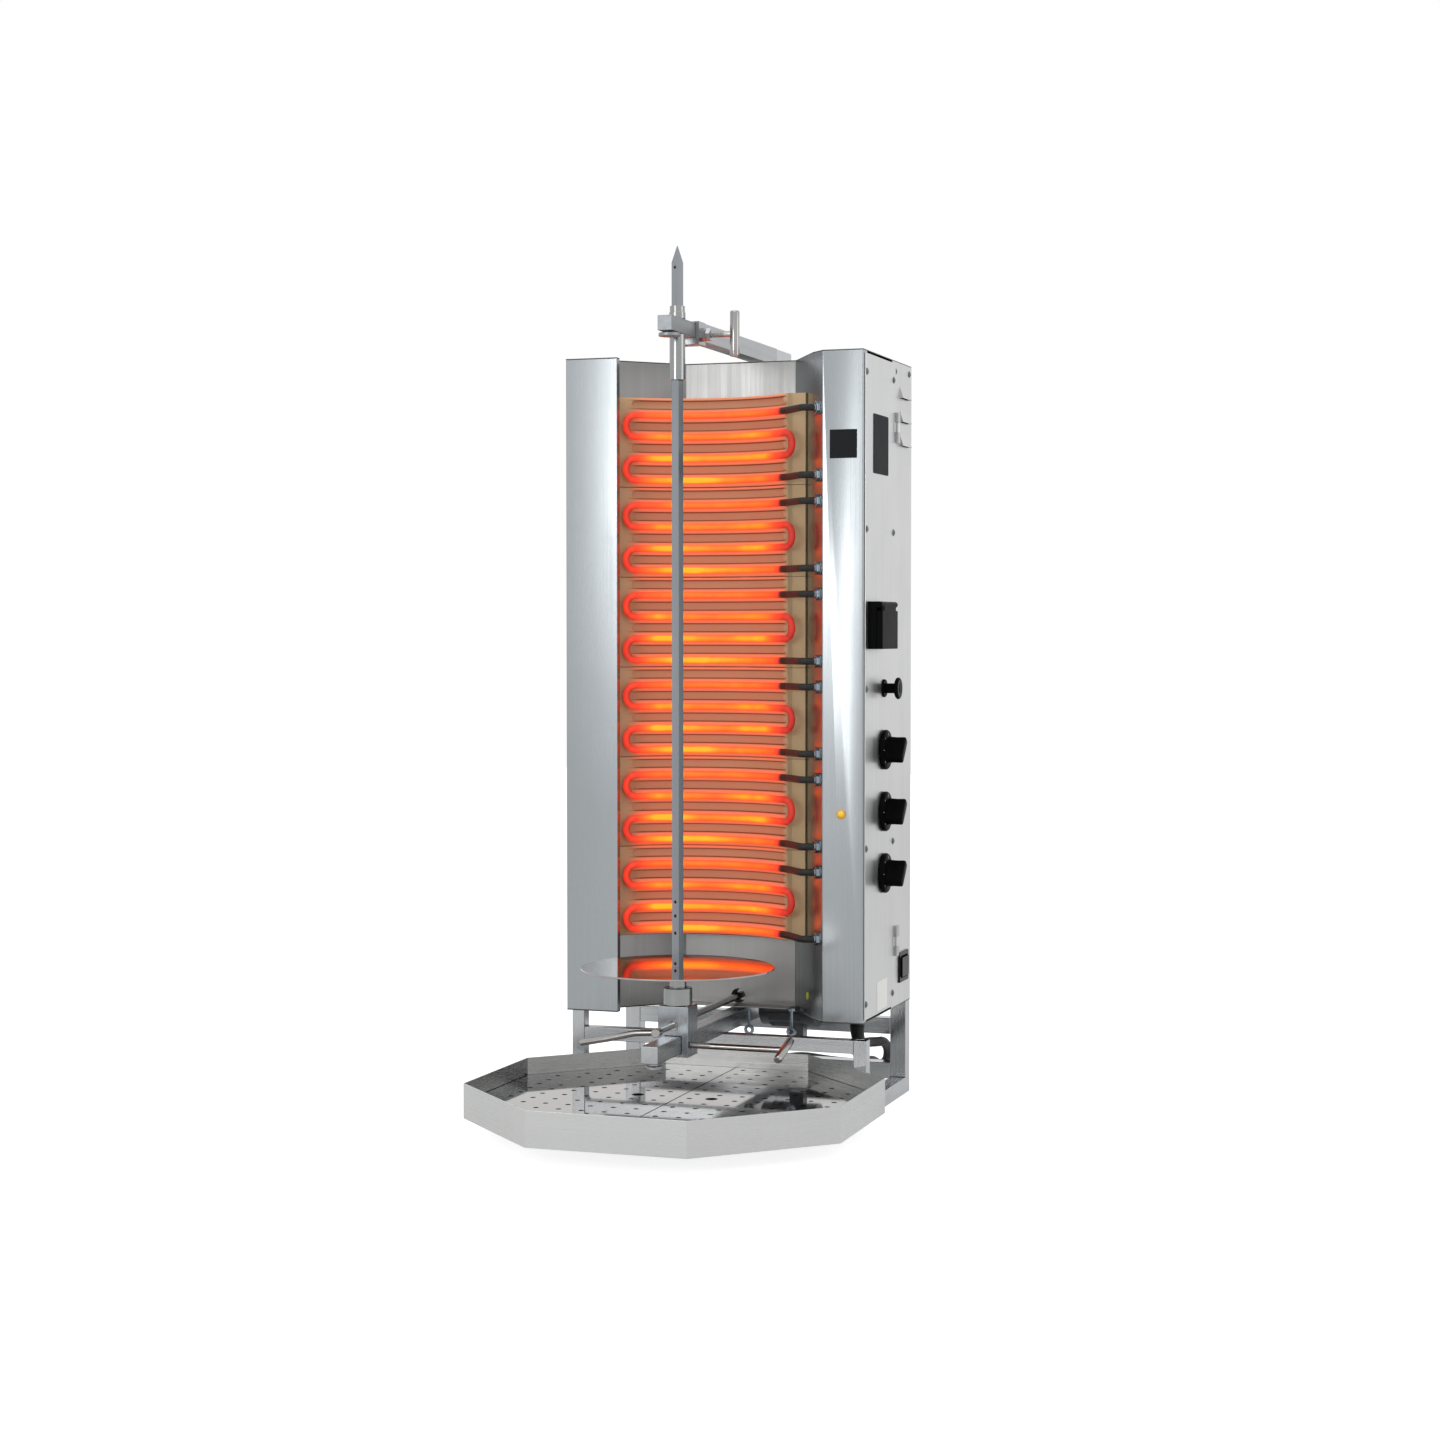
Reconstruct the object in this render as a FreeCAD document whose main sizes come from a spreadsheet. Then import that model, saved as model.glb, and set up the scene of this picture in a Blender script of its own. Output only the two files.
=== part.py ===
import FreeCAD, Part
import math
import os
import re

import Sketcher

# Vertical doner grill on its frame.  Millimetres, +Z up, front towards -Y.
# The origin lies on the ground under the middle of the machine's outer box.

os.makedirs("parts", exist_ok=True)
V = FreeCAD.Vector

SIZES = {
    # places of the main axes
    "skewer_y": -113.5,
    "skewer_clear": 0.3,
    # frame of square tube
    "front_tube": 20.0,
    "rear_tube": 25.0,
    "tube_wall": 2.0,
    "rail_front": -253.5,
    "rear_low_z": 22.0,
    "front_post_y": 60.5,
    "post_inset": 2.0,
    "cross_top": 117.0,
    # casing of folded sheet
    "casing_width": 468.0,
    "casing_front": 38.5,
    "casing_depth": 280.0,
    "casing_bottom": 145.0,
    "casing_height": 989.0,
    "sheet": 1.5,
    "wing_lip": 12.0,
    "wing_edge": 151.0,
    "wall_left_x": 196.0,
    "back_left_x": 85.0,
    "back_right_x": 92.0,
    "cavity_depth": 127.0,
    "box_fold_x": 149.0,
    "box_fold_depth": 26.0,
    "box_front_x": 172.0,
    "corner_lip": 20.0,
    "door_start": 6.0,
    "door_depth": 170.0,
    "door_bottom": 150.0,
    "door_height": 980.0,
    "door_gap": 0.4,
    "door_flange": 14.0,
    "door_flange_in": 18.0,
    "liner_lip": 28.0,
    "shaft_hole_r": 11.0,
    "window_margin": 3.0,
    # arms and mast
    "arm_tube": 25.0,
    "arm_reach": 119.0,
    "mast_gap": 2.0,
    "mast_depth": 80.0,
    "upper_tube": 26.0,
    "upper_top": 1171.5,
    "upper_reach": 49.0,
    "collar_width": 31.0,
    "collar_drop": 7.0,
    "collar_length": 29.0,
    "stop_r": 13.0,
    "stop_thick": 5.0,
    "stop_stem_r": 6.0,
    "stop_drop": 5.0,
    "stop_inset": 19.0,
    # ceramic plates and heating elements
    "plate_count": 6.0,
    "plate_height": 137.0,
    "plate_gap": 0.4,
    "plate_bottom": 257.5,
    "arc_x": -20.0,
    "arc_y": -50.5,
    "arc_r": 186.0,
    "plate_thick": 10.0,
    "arc_left": 50.5,
    "arc_right": 41.5,
    "strip_front": 95.5,
    "strip_thick": 8.0,
    "strip_left": 99.0,
    "strip_right": 126.5,
    "groove_height": 12.5,
    "groove_deep": 4.0,
    "groove_left": 41.5,
    "groove_right": 40.5,
    "holder_x": 40.0,
    "holder_width": 16.0,
    "holder_gap": 0.2,
    "row_pitch": 33.0,
    "row_first": 27.5,
    "heater_r": 4.25,
    "heater_stand": 8.5,
    "heater_left": 42.0,
    "heater_right": 36.0,
    "heater_straight": 25.0,
    "cold_start": 28.8,
    "cold_bend_r": 30.0,
    "terminal_bend": 12.0,
    "terminal_share": 0.65,
    "terminal_length": 14.0,
    "terminal_inside": 9.0,
    "nut_flats": 17.0,
    "nut_thick": 6.0,
    "washer_r": 10.0,
    "washer_thick": 1.5,
    # skewer, disc and their drive
    "skewer_side": 12.0,
    "skewer_turn": -16.6,
    "skewer_foot": 212.0,
    "skewer_top": 1273.5,
    "skewer_point": 24.0,
    "pin_hole_r": 2.4,
    "pin_hole_pitch": 22.5,
    "tip_hole_drop": 31.0,
    "disc_r": 140.0,
    "disc_z": 237.0,
    "disc_thick": 2.5,
    "socket_r": 12.2,
    "bearing_r": 21.0,
    "bearing_height": 25.0,
    "housing_width": 46.0,
    "housing_depth": 42.0,
    "housing_bottom": 112.0,
    "housing_top": 185.0,
    "chamber_width": 36.0,
    "chamber_depth": 34.0,
    "chamber_bottom": 145.0,
    "chamber_top": 180.5,
    "slide_clear": 0.3,
    "drive_z": 160.0,
    "gear_teeth": 12.0,
    "gear_r": 12.0,
    "gear_face": 5.5,
    "tooth_high": 1.3,
    "tooth_deep": 1.7,
    "drive_hex": 9.0,
    "drive_rear": 236.5,
    "journal_r": 6.0,
    "run_clear": 0.06,
    # lever and clamp screws
    "spindle_r": 4.0,
    "lever_reach": 66.0,
    "lever_r": 4.4,
    "lever_length": 114.0,
    "lever_droop": 13.0,
    "lever_hub_r": 6.5,
    "lever_hub_length": 14.0,
    "clamp_r": 4.5,
    "clamp_ahead": 8.0,
    "clamp_z": 128.5,
    "clamp_length": 163.0,
    "clamp_bar_r": 6.0,
    "clamp_bar": 68.0,
    "clamp_bar_tilt": 16.0,
    "upper_clamp_z": 1153.0,
    "upper_clamp_back": 63.0,
    "upper_clamp_x": 65.5,
    "upper_clamp_bar": 66.0,
    "upper_clamp_bar_r": 7.0,
    "clamp_nut": 17.0,
    "clamp_nut_thick": 7.0,
    # upper bearing
    "slide_bar": 21.5,
    "slide_bar_front": 54.0,
    "slide_bar_rear": 150.0,
    "sleeve_r": 11.3,
    "sleeve_neck_r": 9.5,
    "sleeve_length": 65.0,
    "sleeve_bore": 12.6,
    "sleeve_head": 18.0,
    "upper_stop_ahead": 34.0,
    "upper_stop_r": 15.5,
    "upper_stop_stem": 1.8,
    # gearmotor
    "gearbox_y": 186.5,
    "gearbox_depth": 50.0,
    "gearbox_width": 56.0,
    "gearbox_top": 200.0,
    "motor_r": 32.0,
    "motor_length": 88.0,
    "motor_z": 143.0,
    "quill_out": 5.0,
    "quill_r": 9.0,
    "terminal_box": 22.0,
    "terminal_box_high": 26.0,
    "eyebolt_r": 2.5,
    "eyebolt_drop": 36.0,
    # tray
    "tray_flats": 562.0,
    "tray_ahead": 10.5,
    "tray_lift": 25.2,
    "tray_height": 51.0,
    "tray_wall": 1.5,
    "insert_top": 50.0,
    "insert_thick": 2.0,
    "insert_gap": 2.0,
    "insert_side": 1.5,
    "insert_leg_r": 5.0,
    "finger_hole_r": 9.0,
    # controls on the door
    "control_y": 148.5,
    "knob_r": 30.0,
    "knob_flange": 7.0,
    "knob_grip": 25.0,
    "knob_bar": 42.0,
    "knob_bar_wide": 15.0,
    "knob_turn": 40.0,
    "knob_gap": 0.5,
    "knob_low_z": 359.0,
    "knob_pitch": 93.0,
    "stem_r": 4.0,
    "push_z": 637.5,
    "push_head_r": 16.5,
    "push_head": 7.0,
    "push_stem_r": 7.5,
    "push_out": 27.0,
    "push_travel": 6.0,
    "outlet_front": 57.5,
    "outlet_length": 88.0,
    "outlet_bottom": 697.0,
    "outlet_height": 70.0,
    "outlet_deep": 13.0,
    "lid_thick": 9.0,
    "lid_gap": 0.4,
    "lid_pin_r": 2.5,
    "regulator_side": 44.0,
    "regulator_deep": 46.0,
    "hinge_back": 3.0,
    "hinge_r": 3.0,
    "hinge_length": 46.0,
    "hinge_low_z": 225.0,
    "hinge_high_z": 1010.0,
    "louvre_inset": 73.0,
    "louvre_length": 54.0,
    "louvre_height": 17.0,
    "louvre_out": 6.0,
    "louvre_pitch": 36.5,
    "louvre_top": 1098.0,
    "rocker_inset": 46.0,
    "rocker_z": 182.0,
    "rocker_width": 48.0,
    "rocker_height": 42.0,
    "rocker_deep": 24.0,
    "rocker_rim": 2.5,
    "rocker_pin_r": 2.0,
    "lamp_x": 201.0,
    "lamp_z": 454.0,
    "lamp_r": 7.0,
    "lamp_lens_r": 5.0,
    # mains lead
    "cord_r": 7.5,
    "gland_r": 13.0,
    "gland_length": 16.0,
    "cord_x": 203.0,
    "cord_y": 121.0,
    "coil_x": 110.0,
    "coil_y": 440.0,
    "coil_mean_r": 83.0,
    "coil_layer": 0.3,
    "plug_turn": 150.0,
    "plug_r": 22.0,
    "plug_length": 84.0,
    "plug_relief": 34.0,
}

doc = FreeCAD.newDocument("vertical_grill")
sheet = doc.addObject("Spreadsheet::Sheet", "sizes")
for row, (alias, value) in enumerate(SIZES.items(), start=1):
    sheet.set("A%d" % row, alias)
    sheet.set("B%d" % row, str(value))
    sheet.setAlias("B%d" % row, alias)
doc.recompute()

WORD = re.compile(r"\b(%s)\b" % "|".join(sorted(SIZES, key=len, reverse=True)))
NODES = {}


def E(text):
    """An expression in the sheet's names, as FreeCAD wants it."""
    return WORD.sub(r"sizes.\1", str(text))


def num(text):
    """The present value of an expression, for placing what a formula shapes."""
    return float(sheet.evalExpression(E(text)))


def node(name, made):
    """Give a finished sub-part its name."""
    made.Label = name
    NODES[name] = made
    return made


def move_to(made, x, y, z):
    for axis, text in zip("xyz", (x, y, z)):
        made.setExpression("Placement.Base." + axis, E(text))
    return made


def box(x, y, z, wide, deep, high):
    """A block with its low corner at x, y, z."""
    made = doc.addObject("Part::Box", "block")
    for prop, text in (("Length", wide), ("Width", deep), ("Height", high)):
        made.setExpression(prop, E(text))
    return move_to(made, x, y, z)


TURNS = {
    "z": FreeCAD.Rotation(),
    "y": FreeCAD.Rotation(V(1, 0, 0), -90),
    "x": FreeCAD.Rotation(V(0, 1, 0), 90),
    "-z": FreeCAD.Rotation(V(1, 0, 0), 180),
    "-y": FreeCAD.Rotation(V(1, 0, 0), 90),
    "-x": FreeCAD.Rotation(V(0, 1, 0), -90),
}


def rod(axis, x, y, z, radius, length, sides=0):
    """A round bar that starts at x, y, z and runs along an axis; a small one has flat sides."""
    made = doc.addObject("Part::Prism" if sides else "Part::Cylinder", "rod")
    if sides:
        made.Polygon = sides
    made.Placement = FreeCAD.Placement(V(), TURNS[axis])
    made.setExpression("Circumradius" if sides else "Radius", E(radius))
    made.setExpression("Height", E(length))
    return move_to(made, x, y, z)


def fuse(*shapes):
    made = doc.addObject("Part::MultiFuse", "joined")
    made.Shapes = list(shapes)
    made.Refine = True
    return made


def group(*shapes):
    """Separate solids kept in one node."""
    made = doc.addObject("Part::Compound", "set")
    made.Links = list(shapes)
    return made


def cut(base, *tools):
    for tool in tools:
        made = doc.addObject("Part::Cut", "cut")
        made.Base = base
        made.Tool = tool
        base = made
    return base


def shaped(shape):
    """A sub-part that only a formula can shape."""
    made = doc.addObject("Part::Feature", "formed")
    made.Shape = shape
    return made


def draw(sketch, points, closed):
    """Lines through points, each point held by two sizes from the origin."""
    count = len(points)
    values = [(num(x), num(y)) for x, y in points]
    lines = count if closed else count - 1
    for i in range(lines):
        start, end = values[i], values[(i + 1) % count]
        sketch.addGeometry(Part.LineSegment(V(*start, 0), V(*end, 0)), False)
    for i in range(count if closed else lines - 1):
        sketch.addConstraint(Sketcher.Constraint("Coincident", i, 2, (i + 1) % lines, 1))
    for i, (texts, value) in enumerate(zip(points, values)):
        line, end = (i, 1) if i < lines else (i - 1, 2)
        for kind, text, now in zip(("DistanceX", "DistanceY"), texts, value):
            held = sketch.addConstraint(Sketcher.Constraint(kind, -1, 1, line, end, now))
            sketch.setExpression("Constraints[%d]" % held, E(text))


def folded(points, wall, bottom, height):
    """Sheet bent along an open outline; a positive wall lies to the right of the way drawn."""
    sketch = doc.addObject("Sketcher::SketchObject", "fold_line")
    draw(sketch, points, closed=False)
    skin = doc.addObject("Part::Offset2D", "skin")
    skin.Source = sketch
    skin.Mode = "Skin"
    skin.Fill = True
    skin.setExpression("Value", E(wall))
    made = doc.addObject("Part::Extrusion", "bent_sheet")
    made.Base = skin
    made.DirMode = "Custom"
    made.Dir = V(0, 0, 1)
    made.Solid = True
    made.setExpression("LengthFwd", E(height))
    return move_to(made, "0", "0", bottom)


def plane_of(body, role):
    return next(one for one in body.Origin.OriginFeatures if one.Role == role)


def body_sketch(body, points, role="XY_Plane"):
    sketch = body.newObject("Sketcher::SketchObject", "outline")
    sketch.AttachmentSupport = [(plane_of(body, role), "")]
    sketch.MapMode = "FlatFace"
    draw(sketch, points, closed=True)
    return sketch


def padded(points, height):
    """A PartDesign body padded up from an outline on the ground plane."""
    body = doc.addObject("PartDesign::Body", "body")
    pad = body.newObject("PartDesign::Pad", "pad")
    pad.Profile = body_sketch(body, points)
    pad.setExpression("Length", E(height))
    return body, pad


def square_tube(axis, x, y, z, side, length, wall="tube_wall", closed_front=False):
    """A hollow square tube; the bore can stop short of the front end."""
    spans = {"x": (length, side, side), "y": (side, length, side), "z": (side, side, length)}
    outer = box(x, y, z, *spans[axis])
    start = {key: "%s + %s" % (at, wall) for key, at in zip("xyz", (x, y, z))}
    start[axis] = {"x": x, "y": y, "z": z}[axis] + (" + %s" % wall if closed_front else "")
    inner = {key: "%s - 2 * %s" % (side, wall) for key in "xyz"}
    inner[axis] = length
    bore = box(start["x"], start["y"], start["z"], inner["x"], inner["y"], inner["z"])
    return cut(outer, bore)


def prism(axis, sides, x, y, z, flats, length, turn="0"):
    """A bar of regular section, given its size across the flats and its turn about its axis."""
    made = doc.addObject("Part::Prism", "prism")
    made.Polygon = sides
    made.setExpression("Circumradius", E("(%s) / 2 / cos(180 deg / %d)" % (flats, sides)))
    made.setExpression("Height", E(length))
    made.Placement = FreeCAD.Placement(V(), TURNS[axis] * FreeCAD.Rotation(V(0, 0, 1), num(turn)))
    return move_to(made, x, y, z)


def hole(axis, x, y, z, radius, length, sides=12):
    """The cut for a small bore: flat sides that clear a round bar of this radius."""
    return prism(axis, sides, x, y, z, "2 * (%s)" % radius, length)


def wedge(x, y, z, out, wide, top_out, top_wide, high):
    """A block that slopes in from its foot to a smaller top, flat towards -X."""
    made = doc.addObject("Part::Wedge", "wedge")
    sizes = {"Xmin": "0", "Xmax": out, "Ymin": "0", "Ymax": high, "Zmin": "0", "Zmax": wide,
             "X2min": "0", "X2max": top_out, "Z2min": "(%s - (%s)) / 2" % (wide, top_wide),
             "Z2max": "(%s + (%s)) / 2" % (wide, top_wide)}
    for prop, text in sizes.items():
        made.setExpression(prop, E(text))
    made.Placement = FreeCAD.Placement(V(), FreeCAD.Rotation(V(1, 0, 0), 90))
    return move_to(made, x, "%s + %s" % (y, wide), z)


def bent_plate(stations, inner, outer, z, height):
    """A plate bent about the axis of the heated wall, with a flat between each two stations."""
    points = []
    for radius, order in ((inner, stations), (outer, stations[::-1])):
        for angle in order:
            points.append(("arc_x + (%s) * sin((%s) * 1 deg)" % (radius, angle),
                           "arc_y + (%s) * cos((%s) * 1 deg)" % (radius, angle)))
    body, _ = padded(points, height)
    return move_to(body, "0", "0", z)


def rounded(points, radii):
    """Straight runs joined by tangent arcs; the edges of one smooth path."""
    edges, start = [], points[0]
    for before, corner, after, radius in zip(points, points[1:], points[2:], radii):
        into = (corner - before).normalize()
        away = (after - corner).normalize()
        half = into.getAngle(away) / 2
        reach = radius * math.tan(half)
        first, last = corner - into * reach, corner + away * reach
        middle = corner + (away - into).normalize() * (radius / math.cos(half) - radius)
        edges.append(Part.LineSegment(start, first).toShape())
        edges.append(Part.Arc(first, middle, last).toShape())
        start = last
    edges.append(Part.LineSegment(start, points[-1]).toShape())
    return edges


def ring_at(centre, heading, side, radius, sides):
    """The corners of a regular outline across a heading, the first one towards side."""
    up = heading.cross(side).normalize()
    turns = [2 * math.pi * k / sides for k in range(sides)]
    return [centre + side * (radius * math.cos(a)) + up * (radius * math.sin(a)) for a in turns]


def mitred(points, side, radius, sides=6):
    """A bar bent along straight steps, mitred at each corner so that every face is flat."""
    headings = [(b - a).normalize() for a, b in zip(points, points[1:])]
    ring = ring_at(points[0], headings[0], side, radius, sides)
    faces = [Part.Face(Part.makePolygon(ring + ring[:1]))]
    for i, heading in enumerate(headings):
        normal = heading + headings[i + 1] if i + 1 < len(headings) else heading
        corner = points[i + 1]
        moved = [p + heading * ((corner - p).dot(normal) / heading.dot(normal)) for p in ring]
        for k in range(sides):
            n = (k + 1) % sides
            faces.append(Part.Face(Part.makePolygon([ring[k], ring[n], moved[n], moved[k], ring[k]])))
        ring = moved
    faces.append(Part.Face(Part.makePolygon(ring + ring[:1])))
    return Part.Solid(Part.makeShell(faces))


def stepped(edges, turn):
    """Points along a smooth path, with at most so much turn from one to the next."""
    points = [edges[0].valueAt(edges[0].FirstParameter)]
    for edge in edges:
        first, last = edge.FirstParameter, edge.LastParameter
        bend = edge.tangentAt(first).getAngle(edge.tangentAt(last))
        if bend < 1e-6 and edge.Curve.TypeId == "Part::GeomCircle":
            bend = math.pi
        steps = max(1, math.ceil(math.degrees(bend) / turn - 1e-6))
        points += [edge.valueAt(first + (last - first) * k / steps) for k in range(1, steps + 1)]
    return points


def tube_along(edges, radius, sides=10):
    """A solid of many-sided section swept along a smooth path."""
    path = Part.Wire(edges)
    start = edges[0].valueAt(edges[0].FirstParameter)
    heading = edges[0].tangentAt(edges[0].FirstParameter)
    side = heading.cross(V(0, 1, 0) if abs(heading.y) < 0.9 else V(1, 0, 0)).normalize()
    corners = ring_at(start, heading, side, radius, sides)
    return path.makePipeShell([Part.makePolygon(corners + corners[:1])], True, False)


# ---- frame of welded square tube ----
LEFT_X, RIGHT_X = "-casing_width / 2", "casing_width / 2"
REAR_Y = "casing_front + casing_depth - post_inset - rear_tube"
rails = [
    square_tube("y", x, "rail_front", "0", "rear_tube", REAR_Y + " + rear_tube - rail_front", closed_front=True)
    for x in (LEFT_X, RIGHT_X + " - rear_tube")
]
node("base_rails", group(*rails))
posts = [
    square_tube("z", LEFT_X, "front_post_y", "rear_tube", "front_tube", "casing_bottom - rear_tube"),
    square_tube("z", RIGHT_X + " - front_tube", "front_post_y", "rear_tube", "front_tube",
                "cross_top - rear_tube"),
]
for x in (LEFT_X, RIGHT_X + " - rear_tube"):
    posts.append(square_tube("z", x, REAR_Y, "rear_tube", "rear_tube", "casing_bottom - rear_tube"))
node("frame_posts", group(*posts))
crossing = [
    square_tube("x", LEFT_X + " + front_tube", "front_post_y", "cross_top - front_tube", "front_tube",
                "casing_width - 2 * front_tube"),
    square_tube("x", LEFT_X + " + rear_tube", REAR_Y, "cross_top - rear_tube", "rear_tube",
                "casing_width - 2 * rear_tube"),
    square_tube("x", LEFT_X + " + rear_tube", REAR_Y, "rear_low_z", "rear_tube",
                "casing_width - 2 * rear_tube"),
]
node("cross_tubes", group(*crossing))

# ---- lower arm, mast and upper arm ----
MAST_FRONT = "casing_front + casing_depth + mast_gap"
ARM_FRONT = "skewer_y - arm_reach"
lower = square_tube("y", "-arm_tube / 2", ARM_FRONT, "cross_top", "arm_tube",
                    MAST_FRONT + " - skewer_y + arm_reach", closed_front=True)
button = rod("z", "0", ARM_FRONT + " + stop_inset", "cross_top - stop_drop - stop_thick",
             "stop_r", "stop_thick", 24)
stem = rod("z", "0", ARM_FRONT + " + stop_inset", "cross_top - stop_drop", "stop_stem_r", "stop_drop", 8)
node("lower_arm", fuse(lower, button, stem))

MAST_HIGH = "upper_top - cross_top"
node("mast", cut(
    box("-upper_tube / 2", MAST_FRONT, "cross_top", "upper_tube", "mast_depth", MAST_HIGH),
    box("-upper_tube / 2 + tube_wall", MAST_FRONT + " + tube_wall", "cross_top + tube_wall",
        "upper_tube - 2 * tube_wall", "mast_depth - 2 * tube_wall", MAST_HIGH + " - 2 * tube_wall")))

HOLDER_FRONT = "skewer_y + upper_reach"
TUBE_LOW = "upper_top - upper_tube"
CLAMP_AT = "skewer_y + upper_clamp_back"
collar = box("-collar_width / 2", HOLDER_FRONT, TUBE_LOW + " - collar_drop", "collar_width",
             "collar_length", "upper_tube + collar_drop")
NUT_X = "collar_width / 2"
nuts = [prism("x", 6, NUT_X, CLAMP_AT, "upper_clamp_z", "clamp_nut", "clamp_nut_thick"),
        rod("x", NUT_X, CLAMP_AT, "upper_clamp_z", "clamp_nut / 2 - 1.5", "clamp_nut_thick + 2", 12),
        prism("x", 6, NUT_X + " + clamp_nut_thick + 1", CLAMP_AT, "upper_clamp_z", "clamp_nut",
              "clamp_nut_thick - 1", "25")]
holder = cut(
    fuse(box("-upper_tube / 2", HOLDER_FRONT, TUBE_LOW, "upper_tube",
             MAST_FRONT + " - skewer_y - upper_reach", "upper_tube"), collar, *nuts),
    box("-upper_tube / 2 + tube_wall", HOLDER_FRONT, TUBE_LOW + " + tube_wall",
        "upper_tube - 2 * tube_wall", MAST_FRONT + " - skewer_y - upper_reach", "upper_tube - 2 * tube_wall"),
    hole("x", "0", CLAMP_AT, "upper_clamp_z", "clamp_r + run_clear", "collar_width / 2 + 3 * clamp_nut_thick"))
node("upper_arm", holder)

# ---- casing of folded sheet ----
FLOOR = "casing_bottom + sheet"
WALL_HIGH = "casing_height - sheet"
BACK = "casing_front + casing_depth"
HALF = "casing_width / 2"
LIP_Y = "casing_front + wing_lip"
CAVITY_Y = "casing_front + cavity_depth"
FOLD_Y = "casing_front + box_fold_depth"
node("left_wing", folded(
    [("-wall_left_x", LIP_Y), ("-wing_edge", LIP_Y), ("-wing_edge", "casing_front"),
     ("-" + HALF, "casing_front"), ("-" + HALF, BACK + " - sheet")], "sheet", FLOOR, WALL_HIGH))

liner = folded(
    [("-" + HALF + " + 2 * sheet", LIP_Y), ("-wall_left_x", LIP_Y), ("-back_left_x", CAVITY_Y),
     ("back_right_x", CAVITY_Y)], "-sheet", FLOOR, WALL_HIGH)
liner = cut(liner, hole("y", "0", CAVITY_Y + " - 1", "drive_z", "shaft_hole_r", "2 * sheet + 2", 16))
holders = []
RAIL_FRONT = "arc_y + sqrt((arc_r + plate_thick)^2 - (holder_x - holder_width / 2)^2) + holder_gap"
PLATES_HIGH = "plate_count * plate_height"
for side in ("-", "+"):
    channel = box("arc_x %s holder_x - holder_width / 2" % side, RAIL_FRONT, "plate_bottom",
                  "holder_width", CAVITY_Y + " - (" + RAIL_FRONT + ")", PLATES_HIGH)
    hollow = box("arc_x %s holder_x - holder_width / 2 + sheet" % side, RAIL_FRONT + " + sheet",
                 "plate_bottom", "holder_width - 2 * sheet", CAVITY_Y, PLATES_HIGH)
    holders.append(cut(channel, hollow))
shelf = box("-back_left_x", "arc_y + arc_r + plate_thick - 12", "plate_bottom - sheet",
            "2 * back_left_x - 8", CAVITY_Y + " - (arc_y + arc_r + plate_thick - 12)", "sheet")
lip = box("-back_left_x", CAVITY_Y + " - liner_lip", FLOOR, "back_left_x + back_right_x - 4", "liner_lip + sheet",
          "sheet")
node("cavity_liner", fuse(liner, shelf, lip, *holders))

RUN = "(box_front_x - box_fold_x)"
SLANT = "sqrt(%s^2 + box_fold_depth^2)" % RUN
slant = math.hypot(num(RUN), num("box_fold_depth"))
OUTWARD = V(-num("box_fold_depth") / slant, -num(RUN) / slant, 0)
BORE_TURN = "%.6f" % (math.degrees(math.atan2(OUTWARD.y, OUTWARD.x)) + 90)
TURNS["out"] = FreeCAD.Rotation(V(0, 0, 1), OUTWARD)


def off_slant(distance):
    """The place of the terminals in plan, a distance out from the slanted strip of the box."""
    return (
        "box_fold_x + terminal_share * %s - (%s) * box_fold_depth / %s" % (RUN, distance, SLANT),
        "casing_front + (1 - terminal_share) * box_fold_depth - (%s) * %s / %s" % (distance, RUN, SLANT),
    )


PLATES = int(num("plate_count"))
ends = []
for i in range(PLATES):
    for drop in ("row_first", "row_first + 3 * row_pitch"):
        ends.append("plate_bottom + %d * plate_height - (%s)" % (i + 1, drop))
housing = folded(
    [("back_right_x", CAVITY_Y), ("box_fold_x", FOLD_Y), ("box_front_x", "casing_front"),
     (HALF, "casing_front"), (HALF, "casing_front + corner_lip")], "-sheet", FLOOR, WALL_HIGH)
holes = [prism("out", 6, *off_slant("-3 * sheet"), z, "2 * (heater_r + run_clear) * cos(30 deg)", "6 * sheet",
               BORE_TURN) for z in ends]
holes.append(hole("y", "lamp_x", "casing_front - 1", "lamp_z", "lamp_lens_r + 1", "sheet + 2"))
node("control_box", cut(housing, fuse(*holes)))

SIDE_START = "casing_front + door_start + door_depth - door_start * 2"
rear_side = folded([(HALF + " - door_flange_in", SIDE_START), (HALF, SIDE_START), (HALF, BACK + " - sheet")],
                   "-sheet", FLOOR, WALL_HIGH)
rocker_hole = box(HALF + " - 3 * sheet", "casing_front + casing_depth - rocker_inset - rocker_width / 2", "rocker_z",
                  "6 * sheet", "rocker_width", "rocker_height")
slots, hoods = [], []
for i in range(3):
    low = "louvre_top - louvre_height - %d * louvre_pitch" % i
    outer = wedge(HALF, "casing_front + casing_depth - louvre_inset", low, "louvre_out", "louvre_length", "0.4", "louvre_length - 4",
                  "louvre_height")
    inner = wedge(HALF + " - sheet", "casing_front + casing_depth - louvre_inset + sheet", low + " - 0.5", "louvre_out",
                  "louvre_length - 2 * sheet", "0.4", "louvre_length - 2 * sheet - 4", "louvre_height")
    hoods.append(cut(outer, inner))
    slots.append(box(HALF + " - 3 * sheet", "casing_front + casing_depth - louvre_inset + 3", low, "6 * sheet", "louvre_length - 6",
                     "louvre_height / 2"))
node("side_panel_rear", fuse(cut(rear_side, rocker_hole, fuse(*slots)), *hoods))

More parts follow.
